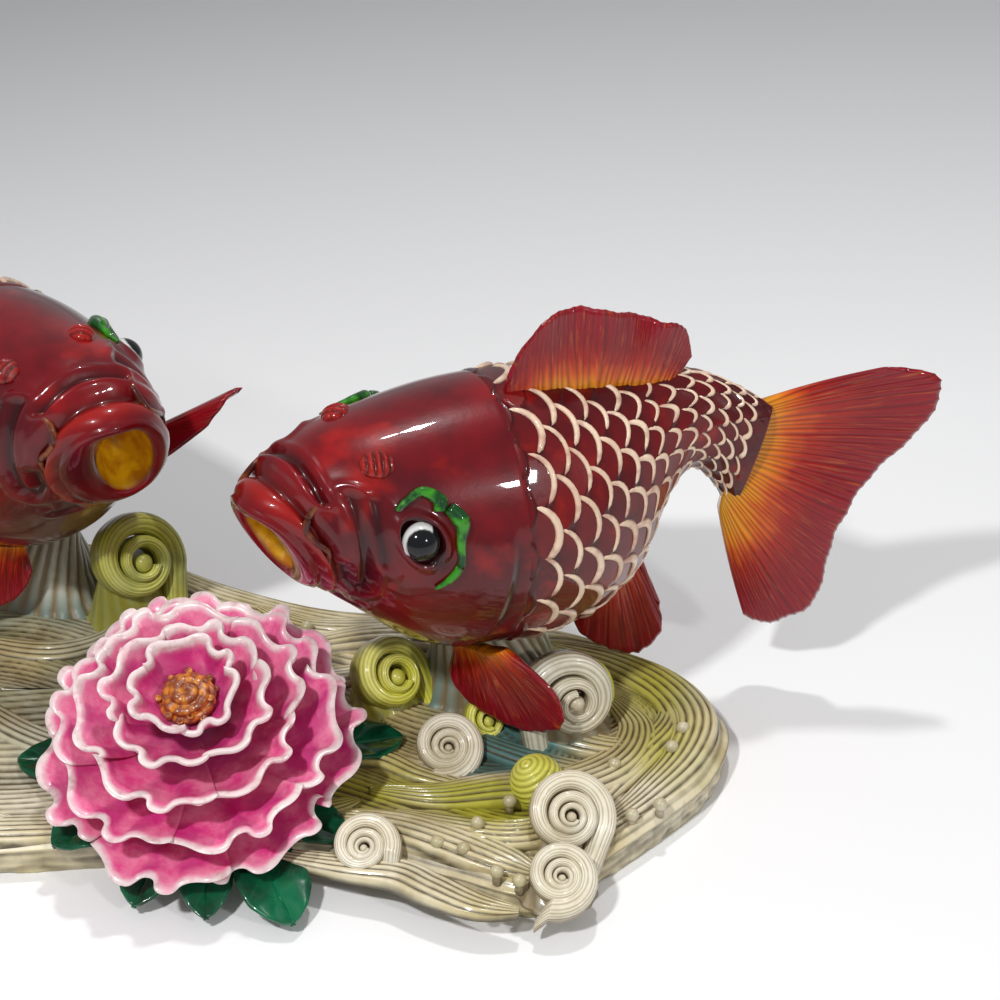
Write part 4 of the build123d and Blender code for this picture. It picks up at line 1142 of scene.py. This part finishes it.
def make_leaf(paint, name, direction, reach, width, drop):
    """Leaf: half width follows a pointed arch, folded along its midrib, with curved side veins"""
    heading = np.radians(direction)
    away = np.array([np.cos(heading), np.sin(heading), 0])
    beside = np.array([-np.sin(heading), np.cos(heading), 0])
    along = np.linspace(0, 1, 60)[None, :]
    side = np.linspace(-1, 1, 41)[:, None]
    shape = np.interp(along, *leaf_outline)
    vein = ripple(np.abs(side) - along * 6.0)
    rise = MM * (shape * (3.2 * np.abs(side) ** 1.3 * (1 - 0.45 * np.abs(side)) + 0.35 * vein
                          + 0.6 * np.sin(along * 26 + direction) * np.abs(side) ** 3)
                 - 0.7 * bump(side, 0, 0.07))
    fall = drop * BASE_THICKNESS * (along - 0.48).clip(0) / 0.52
    out = LEAF_START + (reach * PEONY_RADIUS - LEAF_START) * along + 0 * side
    middle = (stem_foot() + UP * 1.6 * MM + out[..., None] * away
              + (side * width * PEONY_RADIUS / 2 * shape)[..., None] * beside
              + (rise - fall)[..., None] * UP)
    sheet = skin_both_sides(middle, LEAF_THICKNESS * rounded(side, 14, 0.1) + 0 * along)
    dark = np.maximum(bump(side, 0, 0.09) + 0 * along, ease(0.16, 0.0, vein) * 0.7)
    Surface().add(sheet, ends="strip", vein=both_ways(dark)).painted(name, paint, "leaf_green")


# Wave base

# Outline of the base from its front tip, as shares of its length and depth
outline_shares = np.array([
    (0.320, -0.437), (0.380, -0.352), (0.442, -0.251), (0.486, -0.161), (0.509, -0.040),
    (0.486, 0.060), (0.429, 0.171), (0.343, 0.251), (0.229, 0.290), (0.100, 0.320),
    (-0.010, 0.400), (-0.110, 0.495), (-0.236, 0.553), (-0.343, 0.528), (-0.434, 0.412),
    (-0.486, 0.226), (-0.491, 0.025), (-0.451, -0.161), (-0.371, -0.281), (-0.257, -0.342),
    (-0.129, -0.332), (0.0, -0.312), (0.129, -0.322), (0.234, -0.390)])


def on_base(shares, height=0.0):
    """Points over the base from shares of its length and depth"""
    flat = np.asarray(shares, float) * (BASE_LENGTH, BASE_DEPTH)
    return np.concatenate([flat, np.full(flat.shape[:-1] + (1,), height)], -1)


def water_tone(points):
    """Tint of the water by place: -1 teal, 0 cream, 1 olive; shares of the base set the patches"""
    x, y = points[..., 0] / BASE_LENGTH, points[..., 1] / BASE_DEPTH
    tone = 0.15 * noise(x * 25, y * 14, 21)
    for share_x, share_y, wide, deep, depth_of_tint in tint_shares:
        tone = tone + depth_of_tint * bump(x, share_x, wide) * bump(y, share_y, deep)
    return np.clip(tone, -1, 1)


# Patches of tint: centre and spread (shares of the base), and depth (negative is teal)
tint_shares = (
    (0.14, -0.20, 0.13, 0.06, 0.75), (0.285, -0.235, 0.05, 0.05, 1.0), (0.44, 0.06, 0.06, 0.16, 0.85),
    (0.43, -0.10, 0.05, 0.10, 0.55), (0.27, -0.14, 0.05, 0.05, -1.2), (0.33, -0.06, 0.10, 0.09, -0.75),
    (0.30, 0.20, 0.12, 0.06, 0.5), (-0.10, 0.02, 0.10, 0.14, -0.8), (-0.30, 0.25, 0.12, 0.14, -0.5),
    (-0.38, -0.05, 0.07, 0.16, 0.7), (-0.18, 0.40, 0.14, 0.08, 0.6), (0.08, -0.04, 0.08, 0.10, 0.6))


def make_plinth(paint):
    """Base slab

    The slab is rings between the outline and a middle line, ridged in strands that follow the
    rim and meander, over a rounded edge, a lumpy side and a flat underside.
    """
    count = 500
    outline = on_base(closed_path(outline_shares, count))
    middle = np.stack([np.clip(outline[:, 0], -105 * MM, 118 * MM) * 0.86, 14 * MM + 0 * outline[:, 1],
                       0 * outline[:, 2]], -1)
    depth = np.linspace(0.0, 1.0, 100)[:, None]
    at = middle[None] + (outline - middle)[None] * (1 - depth)[..., None]
    walk = circle(count)[None, :]
    width = np.linalg.norm(outline - middle, axis=1)[None, :]
    meander = 3.4 * MM * np.sin(walk * 5 + 4 * depth) + 2.2 * MM * np.sin(walk * 9 - 3 * depth)
    strand = (depth * width + meander * ease(0, 0.25, depth)) / (2.7 * MM)
    ridge = ripple(strand) ** 0.8
    broad = 0.5 + 0.5 * np.sin(strand * np.pi / 4.5 + 0.8 * np.sin(walk * 4))
    near_rim = ease(0.0, 0.045, depth)
    height = BASE_THICKNESS + (-1.6 + 1.0 * ridge + 1.7 * broad) * MM * near_rim - 2.0 * MM * (1 - near_rim)
    top = at + UP * height[..., None]
    # Painted shade: the valleys between strands and the broad troughs darker
    fold = (1 - ridge) * 0.8 * near_rim + 0.25 * (1 - broad)
    wall_rows = np.linspace(0, 1, 14)[:, None]
    lumps = noise(walk * 42, wall_rows * 5, 9) + 0.7 * noise(walk * 95, wall_rows * 9, 10)
    push = -(1.1 + 0.7 * (1 - np.sin(np.pi * wall_rows * 0.5 + 0.6)) - 0.35 * lumps) * MM
    wall = (outline[None] + unit(outline - middle)[None] * push[..., None]
            + UP * ((BASE_THICKNESS - 2.0 * MM) * wall_rows)[..., None])
    # The side wall: an even darkening for its brown, and painted shade in the grooves round it and between
    # its lumps
    wall_fold = 0.20 + 0.25 * ripple(wall_rows * 3 + 0.4 * np.sin(walk * 6)) - 0.12 * lumps
    under = middle[None] + (wall[:1] - middle[None]) * np.array([0.02, 0.5])[:, None, None]
    under[..., 2] = 0
    rows = np.concatenate([under, wall, top])
    # The underside gets painted shade too
    folds = np.concatenate([np.full((2, count), 0.4), wall_fold + 0 * walk, fold])
    tones = np.concatenate([np.zeros((2, count)), 0.3 * water_tone(wall), water_tone(top)])
    Surface().add(rows, fold=folds, tone=tones).piece("base_water", paint, "wave_water", "base_plinth")


def make_strands(paint):
    """The strands of water that are cast with the slab"""
    strands = Surface()
    for width, count, lift, route in strand_places:
        add_ribbon(strands, smooth_path(on_base(route), 90), width * MM, BAND_HEIGHT * lift, count)
    strands.piece("base_water_strands", paint, "wave_water", "base_plinth")


# Strands cast with the slab: width in millimetres, ridges, height (share of the band height) and route
strand_places = (
    (15.0, 6, 0.62, ((0.185, -0.250), (0.237, -0.292), (0.283, -0.310), (0.324, -0.290), (0.350, -0.240))),
    (13.0, 5, 0.50, ((0.058, -0.340), (0.139, -0.375), (0.189, -0.392), (0.221, -0.425), (0.262, -0.462),
                     (0.300, -0.476))),
    (12.0, 5, 0.66, ((0.362, -0.250), (0.387, -0.188), (0.420, -0.111), (0.448, -0.030), (0.452, 0.052))),
    (13.0, 5, 0.70, ((0.245, 0.040), (0.295, -0.020), (0.350, -0.070), (0.400, -0.090), (0.440, -0.060))),
    (12.0, 5, 0.55, ((0.225, -0.010), (0.263, -0.072), (0.321, -0.130), (0.369, -0.150), (0.405, -0.130))),
    (11.0, 4, 0.60, ((0.060, -0.080), (0.110, -0.110), (0.165, -0.120), (0.205, -0.160), (0.260, -0.190))),
    (12.0, 5, 0.60, ((0.365, 0.190), (0.415, 0.120), (0.452, 0.040), (0.462, -0.050), (0.440, -0.120))),
    (14.0, 6, 0.60, ((0.020, 0.330), (0.080, 0.260), (0.150, 0.250), (0.220, 0.262), (0.290, 0.230),
                     (0.350, 0.170))),
    (12.0, 5, 0.55, ((0.000, 0.160), (0.060, 0.100), (0.130, 0.110), (0.200, 0.150), (0.260, 0.140))),
    (13.0, 5, 0.60, ((-0.060, 0.300), (-0.020, 0.220), (0.020, 0.130), (0.080, 0.050), (0.130, 0.030))),
    (13.0, 5, 0.60, ((-0.020, -0.250), (0.030, -0.285), (0.080, -0.280), (0.120, -0.250), (0.150, -0.220))),
    (14.0, 6, 0.62, ((-0.350, -0.250), (-0.270, -0.310), (-0.190, -0.300), (-0.110, -0.285),
                     (-0.040, -0.265))),
    (13.0, 5, 0.60, ((-0.440, 0.300), (-0.400, 0.200), (-0.390, 0.080), (-0.360, -0.020), (-0.290, -0.120),
                     (-0.200, -0.170))),
    (13.0, 5, 0.58, ((-0.300, 0.100), (-0.240, 0.020), (-0.180, -0.060), (-0.110, -0.110),
                     (-0.050, -0.120))),
    (13.0, 5, 0.58, ((-0.330, 0.400), (-0.260, 0.400), (-0.180, 0.410), (-0.110, 0.370), (-0.060, 0.300))),
    (12.0, 5, 0.55, ((-0.120, 0.300), (-0.130, 0.220), (-0.180, 0.180), (-0.250, 0.200), (-0.310, 0.260))),
)


RIBBON_SUNK = 2.5 * MM


def add_ribbon(surface, line, width, height, strands):
    """A bundle of strands along a line on the base top

    Its height is a low arch with a ripple of strands, and its width and height swell and thin
    with the sine of the way along; the strands drift across it as they go.
    """
    beside = np.cross(unit(np.gradient(line, axis=0)), UP)
    step = np.linspace(0, 1, len(line))[:, None]
    side = np.linspace(-1, 1, 6 * strands + 3)[None, :]
    swell = 0.06 + 0.94 * np.sin(np.pi * np.clip(step * 0.97 + 0.015, 0, 1)) ** 0.6
    drift = side + 0.14 * np.sin(step * 6 + strands)
    ridge = ripple(drift * strands / 2) ** 0.75
    arch = rounded(side, 2)
    rise = height * swell * (0.70 * arch + 0.30 * ridge * arch**0.5 + 0.10 * np.sin(drift * 2.5) * arch)
    top = (line[:, None] * [1, 1, 0] + (side * width / 2 * swell)[..., None] * beside[:, None]
           + (BASE_THICKNESS + rise)[..., None] * UP)
    bottom = top[:, ::-6].copy()
    bottom[..., 2] = BASE_THICKNESS - RIBBON_SUNK
    loop = np.concatenate([top, bottom], 1)
    # Painted shade in the valleys between strands and on the sunk underside
    fold = np.concatenate([(1 - ridge) * 0.95, 0 * bottom[..., 0] + 0.8], 1)
    surface.add(loop, ends="strip", fold=fold, tone=water_tone(loop))


# Bands of water: width in millimetres, ridges and route
bands = {
    "water_band_front": (17.0, 6, (
        (0.105, -0.262), (0.170, -0.285), (0.230, -0.325), (0.285, -0.368), (0.318, -0.398))),
    "water_band_rim": (17.0, 6, (
        (0.372, -0.295), (0.420, -0.215), (0.462, -0.120), (0.476, -0.020), (0.450, 0.075),
        (0.400, 0.150), (0.335, 0.205))),
    "water_band_middle": (19.0, 7, (
        (0.160, -0.195), (0.225, -0.215), (0.290, -0.195), (0.350, -0.190), (0.400, -0.130),
        (0.418, -0.040), (0.395, 0.050))),
    "water_band_back": (18.0, 6, (
        (0.050, 0.175), (0.110, 0.205), (0.180, 0.222), (0.250, 0.215), (0.300, 0.185))),
    "water_band_left": (19.0, 7, (
        (-0.430, 0.180), (-0.448, 0.060), (-0.415, -0.080), (-0.340, -0.200), (-0.250, -0.262),
        (-0.170, -0.272))),
    "water_band_left_back": (17.0, 6, (
        (-0.060, 0.395), (-0.120, 0.440), (-0.200, 0.485), (-0.290, 0.480), (-0.360, 0.420),
        (-0.410, 0.320))),
}


def make_band(paint, name, width, strands, route):
    """One band of water as its own piece"""
    band = Surface()
    add_ribbon(band, smooth_path(on_base(route), 120), width * MM, BAND_HEIGHT, strands)
    band.painted(name, paint, "wave_water")


# Curls: centre (shares of the base), height of the centre (share of the radius), radius and
# depth (shares), direction faced round and up, way of curling (1 is anticlockwise from its
# front), tint, ridges, turns, start angle, rise of the middle (share of the depth)
scrolls = {
    "scroll_middle": (0.229, -0.111, 0.42, 1.05, 1.0, -80, 55, 1, 0.0, 6, 3.2, -115, 0.10),
    "scroll_upper": (0.343, -0.302, 0.62, 1.15, 1.3, -85, 48, 1, 0.0, 7, 3.0, -35, 0.55),
    "scroll_lower": (0.334, -0.425, 0.45, 0.98, 1.0, -80, 62, 1, 0.0, 6, 3.2, -110, 0.05),
    "scroll_left_front": (0.158, -0.352, 0.42, 0.86, 0.9, -100, 60, 1, 0.0, 6, 3.0, -10, 0.10),
    "scroll_left": (-0.330, -0.080, 0.60, 1.10, 1.2, -100, 55, -1, 0.0, 5, 2.5, -80, 0.20),
}
curls = {
    "curl_yellow_large": (0.171, 0.045, 0.75, 1.15, 1.0, -50, 40, 1, 1.0, 5, 1.9, -10, 0.30),
    "curl_yellow_small": (0.268, -0.030, 0.40, 0.70, 0.6, -70, 35, 1, 1.0, 4, 1.8, 0, 0.30),
    "curl_olive_right": (0.365, 0.035, 0.55, 0.95, 0.9, -40, 35, 1, 0.9, 5, 2.0, -60, 0.30),
    "crest_curl_right": (0.352, -0.045, 0.95, 1.35, 0.8, -75, 20, -1, -0.25, 5, 2.3, 195, 0.15),
    "crest_curl_left": (-0.100, 0.290, 1.50, 1.45, 1.1, -50, 30, 1, 0.75, 6, 2.0, -30, 0.25),
    "crest_curl_left_low": (-0.110, 0.040, 0.70, 1.00, 0.9, -60, 35, 1, -0.2, 4, 2.4, -80, 0.15),
}
# How far the strand of a curl runs on before its spiral, as a share of its radius
TAIL_REACH = 1.4
SHORT_TAIL_REACH = 0.35
short_tails = ("scroll_left_front", "scroll_lower", "scroll_middle")
TURN_SHRINK = 0.56
CURL_GROWTH = 1.20
SECTION_POWER = 0.75
LEAST_CURL_HEIGHT = 1.0 * MM
# Curls whose tint is over this are painted yellow
YELLOW_FROM = 0.5
BUD_PLACE = (0.318, -0.212, 0.85, 0.82, 0.55, -90, 70)


def curl_axes(place, radius):
    """Centre of a curl and its directions beside, above and towards its front"""
    share_x, share_y, lift, radius_share, _, heading, up = place[:7]
    heading, up = np.radians(heading), np.radians(up)
    facing = np.array([np.cos(heading) * np.cos(up), np.sin(heading) * np.cos(up), np.sin(up)])
    beside = np.array([-np.sin(heading), np.cos(heading), 0])
    centre = on_base((share_x, share_y), BASE_THICKNESS + lift * radius * radius_share)
    return centre, beside, np.cross(facing, beside), facing


def fuller(values):
    """Sine or cosine for a section fuller than a circle: its size to the SECTION_POWER"""
    return np.sign(values) * np.abs(values) ** SECTION_POWER


def make_curl(name, place, radius, depth, paint, slot):
    """Rolled strand: a ridged rounded section carried inwards along a spiral

    The radius falls by TURN_SHRINK each turn and each turn is as wide as the gap it fills;
    before its start the section runs on, straight and downwards, into the water.
    """
    centre, beside, above, facing = curl_axes(place, radius)
    outer, tall = radius * place[3] * CURL_GROWTH, depth * place[4]
    hand, tone, strands, turns, start, rise = place[7:]
    tone = tone - 1 if tone > YELLOW_FROM else tone
    t = np.linspace(0, 1, int(56 * turns))
    angle = np.radians(start) + hand * TAU * turns * t
    reach = outer * TURN_SHRINK ** (turns * t)
    half = reach * (1 - TURN_SHRINK) / 2 * 1.10
    radial = np.cos(angle)[:, None] * beside + np.sin(angle)[:, None] * above
    drift = 0.14 * (outer - reach)[:, None] * (beside * 0.6 - above)
    lift = tall * (0.30 + rise * (1 - reach / outer))
    spiral = centre + radial * (reach - half)[:, None] + drift + facing * lift[:, None]
    left = np.linspace(1, 0, 22, endpoint=False)[:, None]
    tail_reach = outer * (SHORT_TAIL_REACH if name in short_tails else TAIL_REACH)
    tail = spiral[0] + unit(spiral[0] - spiral[1]) * tail_reach * left
    tail[:, 2:] = tail[:, 2:] + (BASE_THICKNESS - half[0] - tail[:, 2:]) * left**1.3
    path = np.concatenate([tail, spiral])[:, None]
    front = np.concatenate([unit(facing + (UP - facing) * left), facing + 0 * spiral])
    outwards = unit(np.concatenate([radial[0] + 0 * tail, radial]))
    outwards = unit(outwards - (outwards * front).sum(-1, keepdims=True) * front)
    half_wide = np.concatenate([half[0] * (1 - 0.25 * left[:, 0]), half])[:, None]
    half_deep = np.concatenate([tall * 0.5 * (1 - 0.6 * left[:, 0]),
                                tall * (0.30 + 0.20 * reach / outer)])[:, None]
    spin = circle(12 * strands)[None, :]
    ridge = ripple(spin / TAU * strands * 3 + 0.25)
    swell = 1 - 0.05 * (1 - ridge)
    wide = fuller(np.cos(spin)) * half_wide * swell
    deep = (fuller(np.sin(spin)) * swell - 1) * half_deep
    rows = path + wide[..., None] * outwards[:, None] + deep[..., None] * front[:, None]
    rows[..., 2] = np.maximum(rows[..., 2], LEAST_CURL_HEIGHT)
    # Painted shade in the grooves and on the back of the roll, away from its front; the core ball gets a
    # little too
    fold = 0.50 * (1 - ridge) + 0.5 * ease(0.55, 0.0, np.sin(spin)) + 0 * half_wide
    curl = Surface().add(rows, fold=np.clip(fold, 0, 1), tone=tone)
    core = spiral[-1] - radial[-1] * (reach[-1] - half[-1]) - facing * half_deep[-1] * 0.75
    curl.add(ball(core, half[-1] * 2.3, 16, 24), fold=0.3, tone=tone)
    add_stem(curl, place, radius, tone)
    curl.painted(name, paint, slot)


def add_stem(curl, place, radius, tone):
    """Ribbed foot that stands a curl on the base: rings that widen downwards from its back"""
    centre, _, _, facing = curl_axes(place, radius)
    outer = radius * place[3]
    head = centre - facing * outer * 0.30
    foot = np.array([head[0], head[1], BASE_THICKNESS - 2 * MM])
    step = np.linspace(0, 1, 18)[:, None]
    spin = circle(64)[None, :]
    ridge = ripple(spin / TAU * 14 + step)
    size = outer * (1.10 - 0.50 * step**0.6) * (1 - 0.06 * (1 - ridge))
    ring = np.stack([np.cos(spin), np.sin(spin), 0 * spin], -1)
    rows = foot + (head - foot) * step[..., None] + size[..., None] * ring
    # Painted shade on the foot under the curl, deeper in its grooves
    curl.add(rows, fold=0.5 + 0.4 * (1 - ridge), tone=tone - 0.3)


def make_bud(name, place, paint):
    """Ribbed bud: a ball whose ribs are rings round its axis"""
    centre, _, above, facing = curl_axes(place, CURL_RADIUS)
    outer = CURL_RADIUS * place[3]
    lat = np.linspace(0.03, np.pi - 0.03, 80)[:, None]
    lon = circle(60)[None, :]
    ridge = ripple(lat / np.pi * 13)
    size = outer * 0.92 * (0.94 + 0.06 * ridge)
    axis = unit(facing + np.array([-0.6, 0.3, 0.3]))
    side = unit(np.cross(axis, above))
    rows = dome(centre - facing * outer * 0.30, lat, lon, (side, np.cross(axis, side), axis),
                (size, size, size * 1.05))
    # Painted shade in the grooves between the ribs
    Surface().add(rows, fold=0.6 * (1 - ridge), tone=0.1).painted(name, paint, "curl_yellow")


CREST_HALF_LENGTH = 29 * MM
CREST_HALF_WIDTH = 22 * MM


def make_crest(carp, paint):
    """Wave mound under a carp: twisted strands that rise from a wide foot to the belly"""
    under = carp.skin(np.array(CREST_PLACE), np.array(270.0))
    foot = np.array([under[0], under[1], BASE_THICKNESS - 3 * MM])
    rise = under[2] + 6 * MM - foot[2]
    step = np.linspace(0, 1, 60)[:, None]
    spin = circle(240)[None, :]
    spread = np.interp(step, (0, 0.10, 0.30, 0.60, 1.0), (1.10, 0.96, 0.80, 0.68, 0.60))
    twist = 1.1 * step**1.5
    ridge = ripple(spin / TAU * 26 + twist * 3)
    fan = ripple(spin / TAU * 4 + twist * 0.6)
    size = spread * (1 - 0.05 * (1 - ridge)) * (0.93 + 0.10 * fan)
    along, beside = carp.matrix[:, 0], carp.matrix[:, 1]
    rows = (foot + (CREST_HALF_LENGTH * size * np.cos(spin))[..., None] * along
            + (CREST_HALF_WIDTH * size * np.sin(spin))[..., None] * beside
            + (rise * step)[..., None] * UP)
    # Painted shade in the grooves between the strands
    fold = np.clip(0.9 * (1 - ridge) + 0.3 * (1 - fan), 0, 1)
    crest = Surface().add(rows, fold=fold, tone=-0.75 + 0.7 * step)
    crest.painted(f"crest_{carp.name}", paint, "wave_cream")


bead_shares = np.array([
    (0.449, -0.110), (0.392, -0.155), (0.292, -0.248), (0.262, -0.300), (0.372, -0.240),
    (0.226, -0.345), (0.250, -0.360), (0.432, -0.255), (0.405, -0.280), (0.280, -0.412),
    (0.300, -0.432), (0.462, -0.060), (-0.300, -0.260), (-0.360, -0.020), (-0.440, 0.140),
    (-0.250, 0.440), (-0.060, 0.330), (0.080, 0.230)])
BEAD_RISE_SHARE = 0.62
BEAD_FOOT = 2.5 * MM
BEAD_FOOT_RADIUS = 1.5 * MM


def make_beads(paint):
    """Foam beads, each a slightly uneven ball on a short thick foot"""
    beads = Surface()
    height = BASE_THICKNESS + BAND_HEIGHT * BEAD_RISE_SHARE + BEAD_RADIUS / 2
    for i, centre in enumerate(on_base(bead_shares, height)):
        radii = BEAD_RADIUS * np.array([1.0, 0.96, 0.98 + 0.02 * (i % 2)])
        # Each bead takes an even share of the valley colour; its foot, under it, takes more as painted
        # shade
        beads.add(ball(centre, radii), fold=0.35, tone=0.32)
        foot = np.stack([centre - UP * (BEAD_RADIUS + BEAD_FOOT), centre])
        beads.add(tube(foot, BEAD_FOOT_RADIUS, 8), fold=0.6, tone=0.1)
    beads.piece("foam_bead_row", paint, "bead_cream", "foam_beads")


# Studio

FLOOR_SIZE = 6
# The far colour is the painted shade of the floor
FLOOR_NEAR = (0.88, 0.88, 0.88)
FLOOR_FAR = (0.52, 0.52, 0.53)
ROOM_LIGHT = (0.33, 0.335, 0.345, 1)
SEEN_ROOM = (1, 1, 1, 1)
LAMP_TARGET = np.array([0.05, 0.0, 0.06])
# Lamps: place and size in metres, power in watts
lamps = (("key", (-0.30, -0.60, 1.00), 0.075, 8.0), ("fill", (0.80, -0.75, 0.65), 0.08, 3.0),
         ("top", (0.15, 0.30, 1.15), 0.06, 4.0))


def make_studio():
    """Pale floor with painted shade that greys it towards the back and left, a white view behind it, and
    soft lamps
    """
    bpy.ops.mesh.primitive_plane_add(size=FLOOR_SIZE)
    floor = bpy.context.object
    floor.name = "floor"
    f = Finish("floor_pale", Roughness=0.6)
    # Painted shade: the floor greys towards the back and the left
    grey = f.span(f.axis(1) - f.axis(0) * 0.55 + f.cloud(0.8, 1) * 0.1, 0.10, 1.0)
    floor.data.materials.append(f.finish(f.blend(grey, FLOOR_NEAR, FLOOR_FAR)))
    world = bpy.data.worlds.new("studio")
    bpy.context.scene.world = world
    world.use_nodes = True
    tree = world.node_tree
    tree.nodes["Background"].inputs["Strength"].default_value = 1.0
    rays = tree.nodes.new("ShaderNodeLightPath")
    mix = tree.nodes.new("ShaderNodeMix")
    mix.data_type = "RGBA"
    mix.inputs[6].default_value = ROOM_LIGHT
    mix.inputs[7].default_value = SEEN_ROOM
    tree.links.new(rays.outputs["Is Camera Ray"], mix.inputs[0])
    tree.links.new(mix.outputs[2], tree.nodes["Background"].inputs["Color"])
    for name, place, size, power in lamps:
        lamp = bpy.data.lights.new(name, "AREA")
        lamp.energy, lamp.size = power, size
        thing = bpy.data.objects.new(name, lamp)
        thing.location = place
        aim = LAMP_TARGET - np.array(place)
        yaw = np.arctan2(aim[1], aim[0]) - np.pi / 2
        pitch = np.arctan2(aim[2], np.hypot(aim[0], aim[1])) + np.pi / 2
        thing.rotation_euler = (pitch, 0, yaw)
        bpy.context.scene.collection.objects.link(thing)


CAMERA_DOWN = np.radians(33.0)
CAMERA_DISTANCE = 0.650
CAMERA_TARGET = np.array([0.099, 0.010, 0.095])
# Focal length of the photo, in widths of the picture
PHOTO_FOCUS = 1.970


def make_camera():
    """The photograph's view, level from left to right, towards a point inside the right carp"""
    camera = bpy.data.cameras.new("camera")
    camera.lens = PHOTO_FOCUS * camera.sensor_width
    thing = bpy.data.objects.new("camera", camera)
    away = np.array([0, np.cos(CAMERA_DOWN), -np.sin(CAMERA_DOWN)])
    thing.location = CAMERA_TARGET - CAMERA_DISTANCE * away
    thing.rotation_euler = (np.pi / 2 - CAMERA_DOWN, 0, 0)
    bpy.context.scene.collection.objects.link(thing)
    bpy.context.scene.camera = thing


def repaint(name, paint):
    """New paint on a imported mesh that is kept"""
    for slot in bpy.data.objects[name].material_slots:
        slot.material = paint


paints = {paint.__name__: paint() for paint in (
    carp_red, scale_red, scale_edge_cream, fin_lacquer, eye_enamel, brow_green, barbel_brown)}
for carp in (RIGHT_CARP, LEFT_CARP):
    dress_carp(carp, paints)

pink, amber, green = petal_pink(), stamen_amber(), leaf_green()
for tier, shape in enumerate(petal_tiers):
    make_petals(pink, tier, *shape)
make_stamens(amber)
for name, shape in leaves.items():
    make_leaf(green, name, *shape)

# The last colour of each finish is the painted shade of the valleys
water = water_paint("water_cream", (0.74, 0.67, 0.50), (0.56, 0.46, 0.22), (0.060, 0.042, 0.012))
foam = water_paint("foam_white", (0.82, 0.78, 0.66), (0.72, 0.65, 0.48), (0.22, 0.155, 0.070))
yellow = water_paint("curl_yellow", (0.80, 0.76, 0.22), (0.70, 0.68, 0.07), (0.26, 0.23, 0.018))
make_strands(water)
make_plinth(water)
for name, shape in bands.items():
    make_band(water, name, *shape)
for name, place in scrolls.items():
    make_curl(name, place, SCROLL_RADIUS, SCROLL_DEPTH, foam, "wave_cream")
for name, place in curls.items():
    paint = yellow if place[8] > YELLOW_FROM else foam
    make_curl(name, place, CURL_RADIUS, CURL_DEPTH, paint, "curl_yellow")
make_bud("bud_yellow", BUD_PLACE, yellow)
for carp in (RIGHT_CARP, LEFT_CARP):
    make_crest(carp, foam)
make_beads(foam)

steel = pin_steel()
for name in ("support_pin_right", "support_pin_left", "peony_stem_pin"):
    repaint(name, steel)
repaint("peony_core", green)

make_studio()
make_camera()
bpy.context.scene.view_settings.view_transform = "Standard"
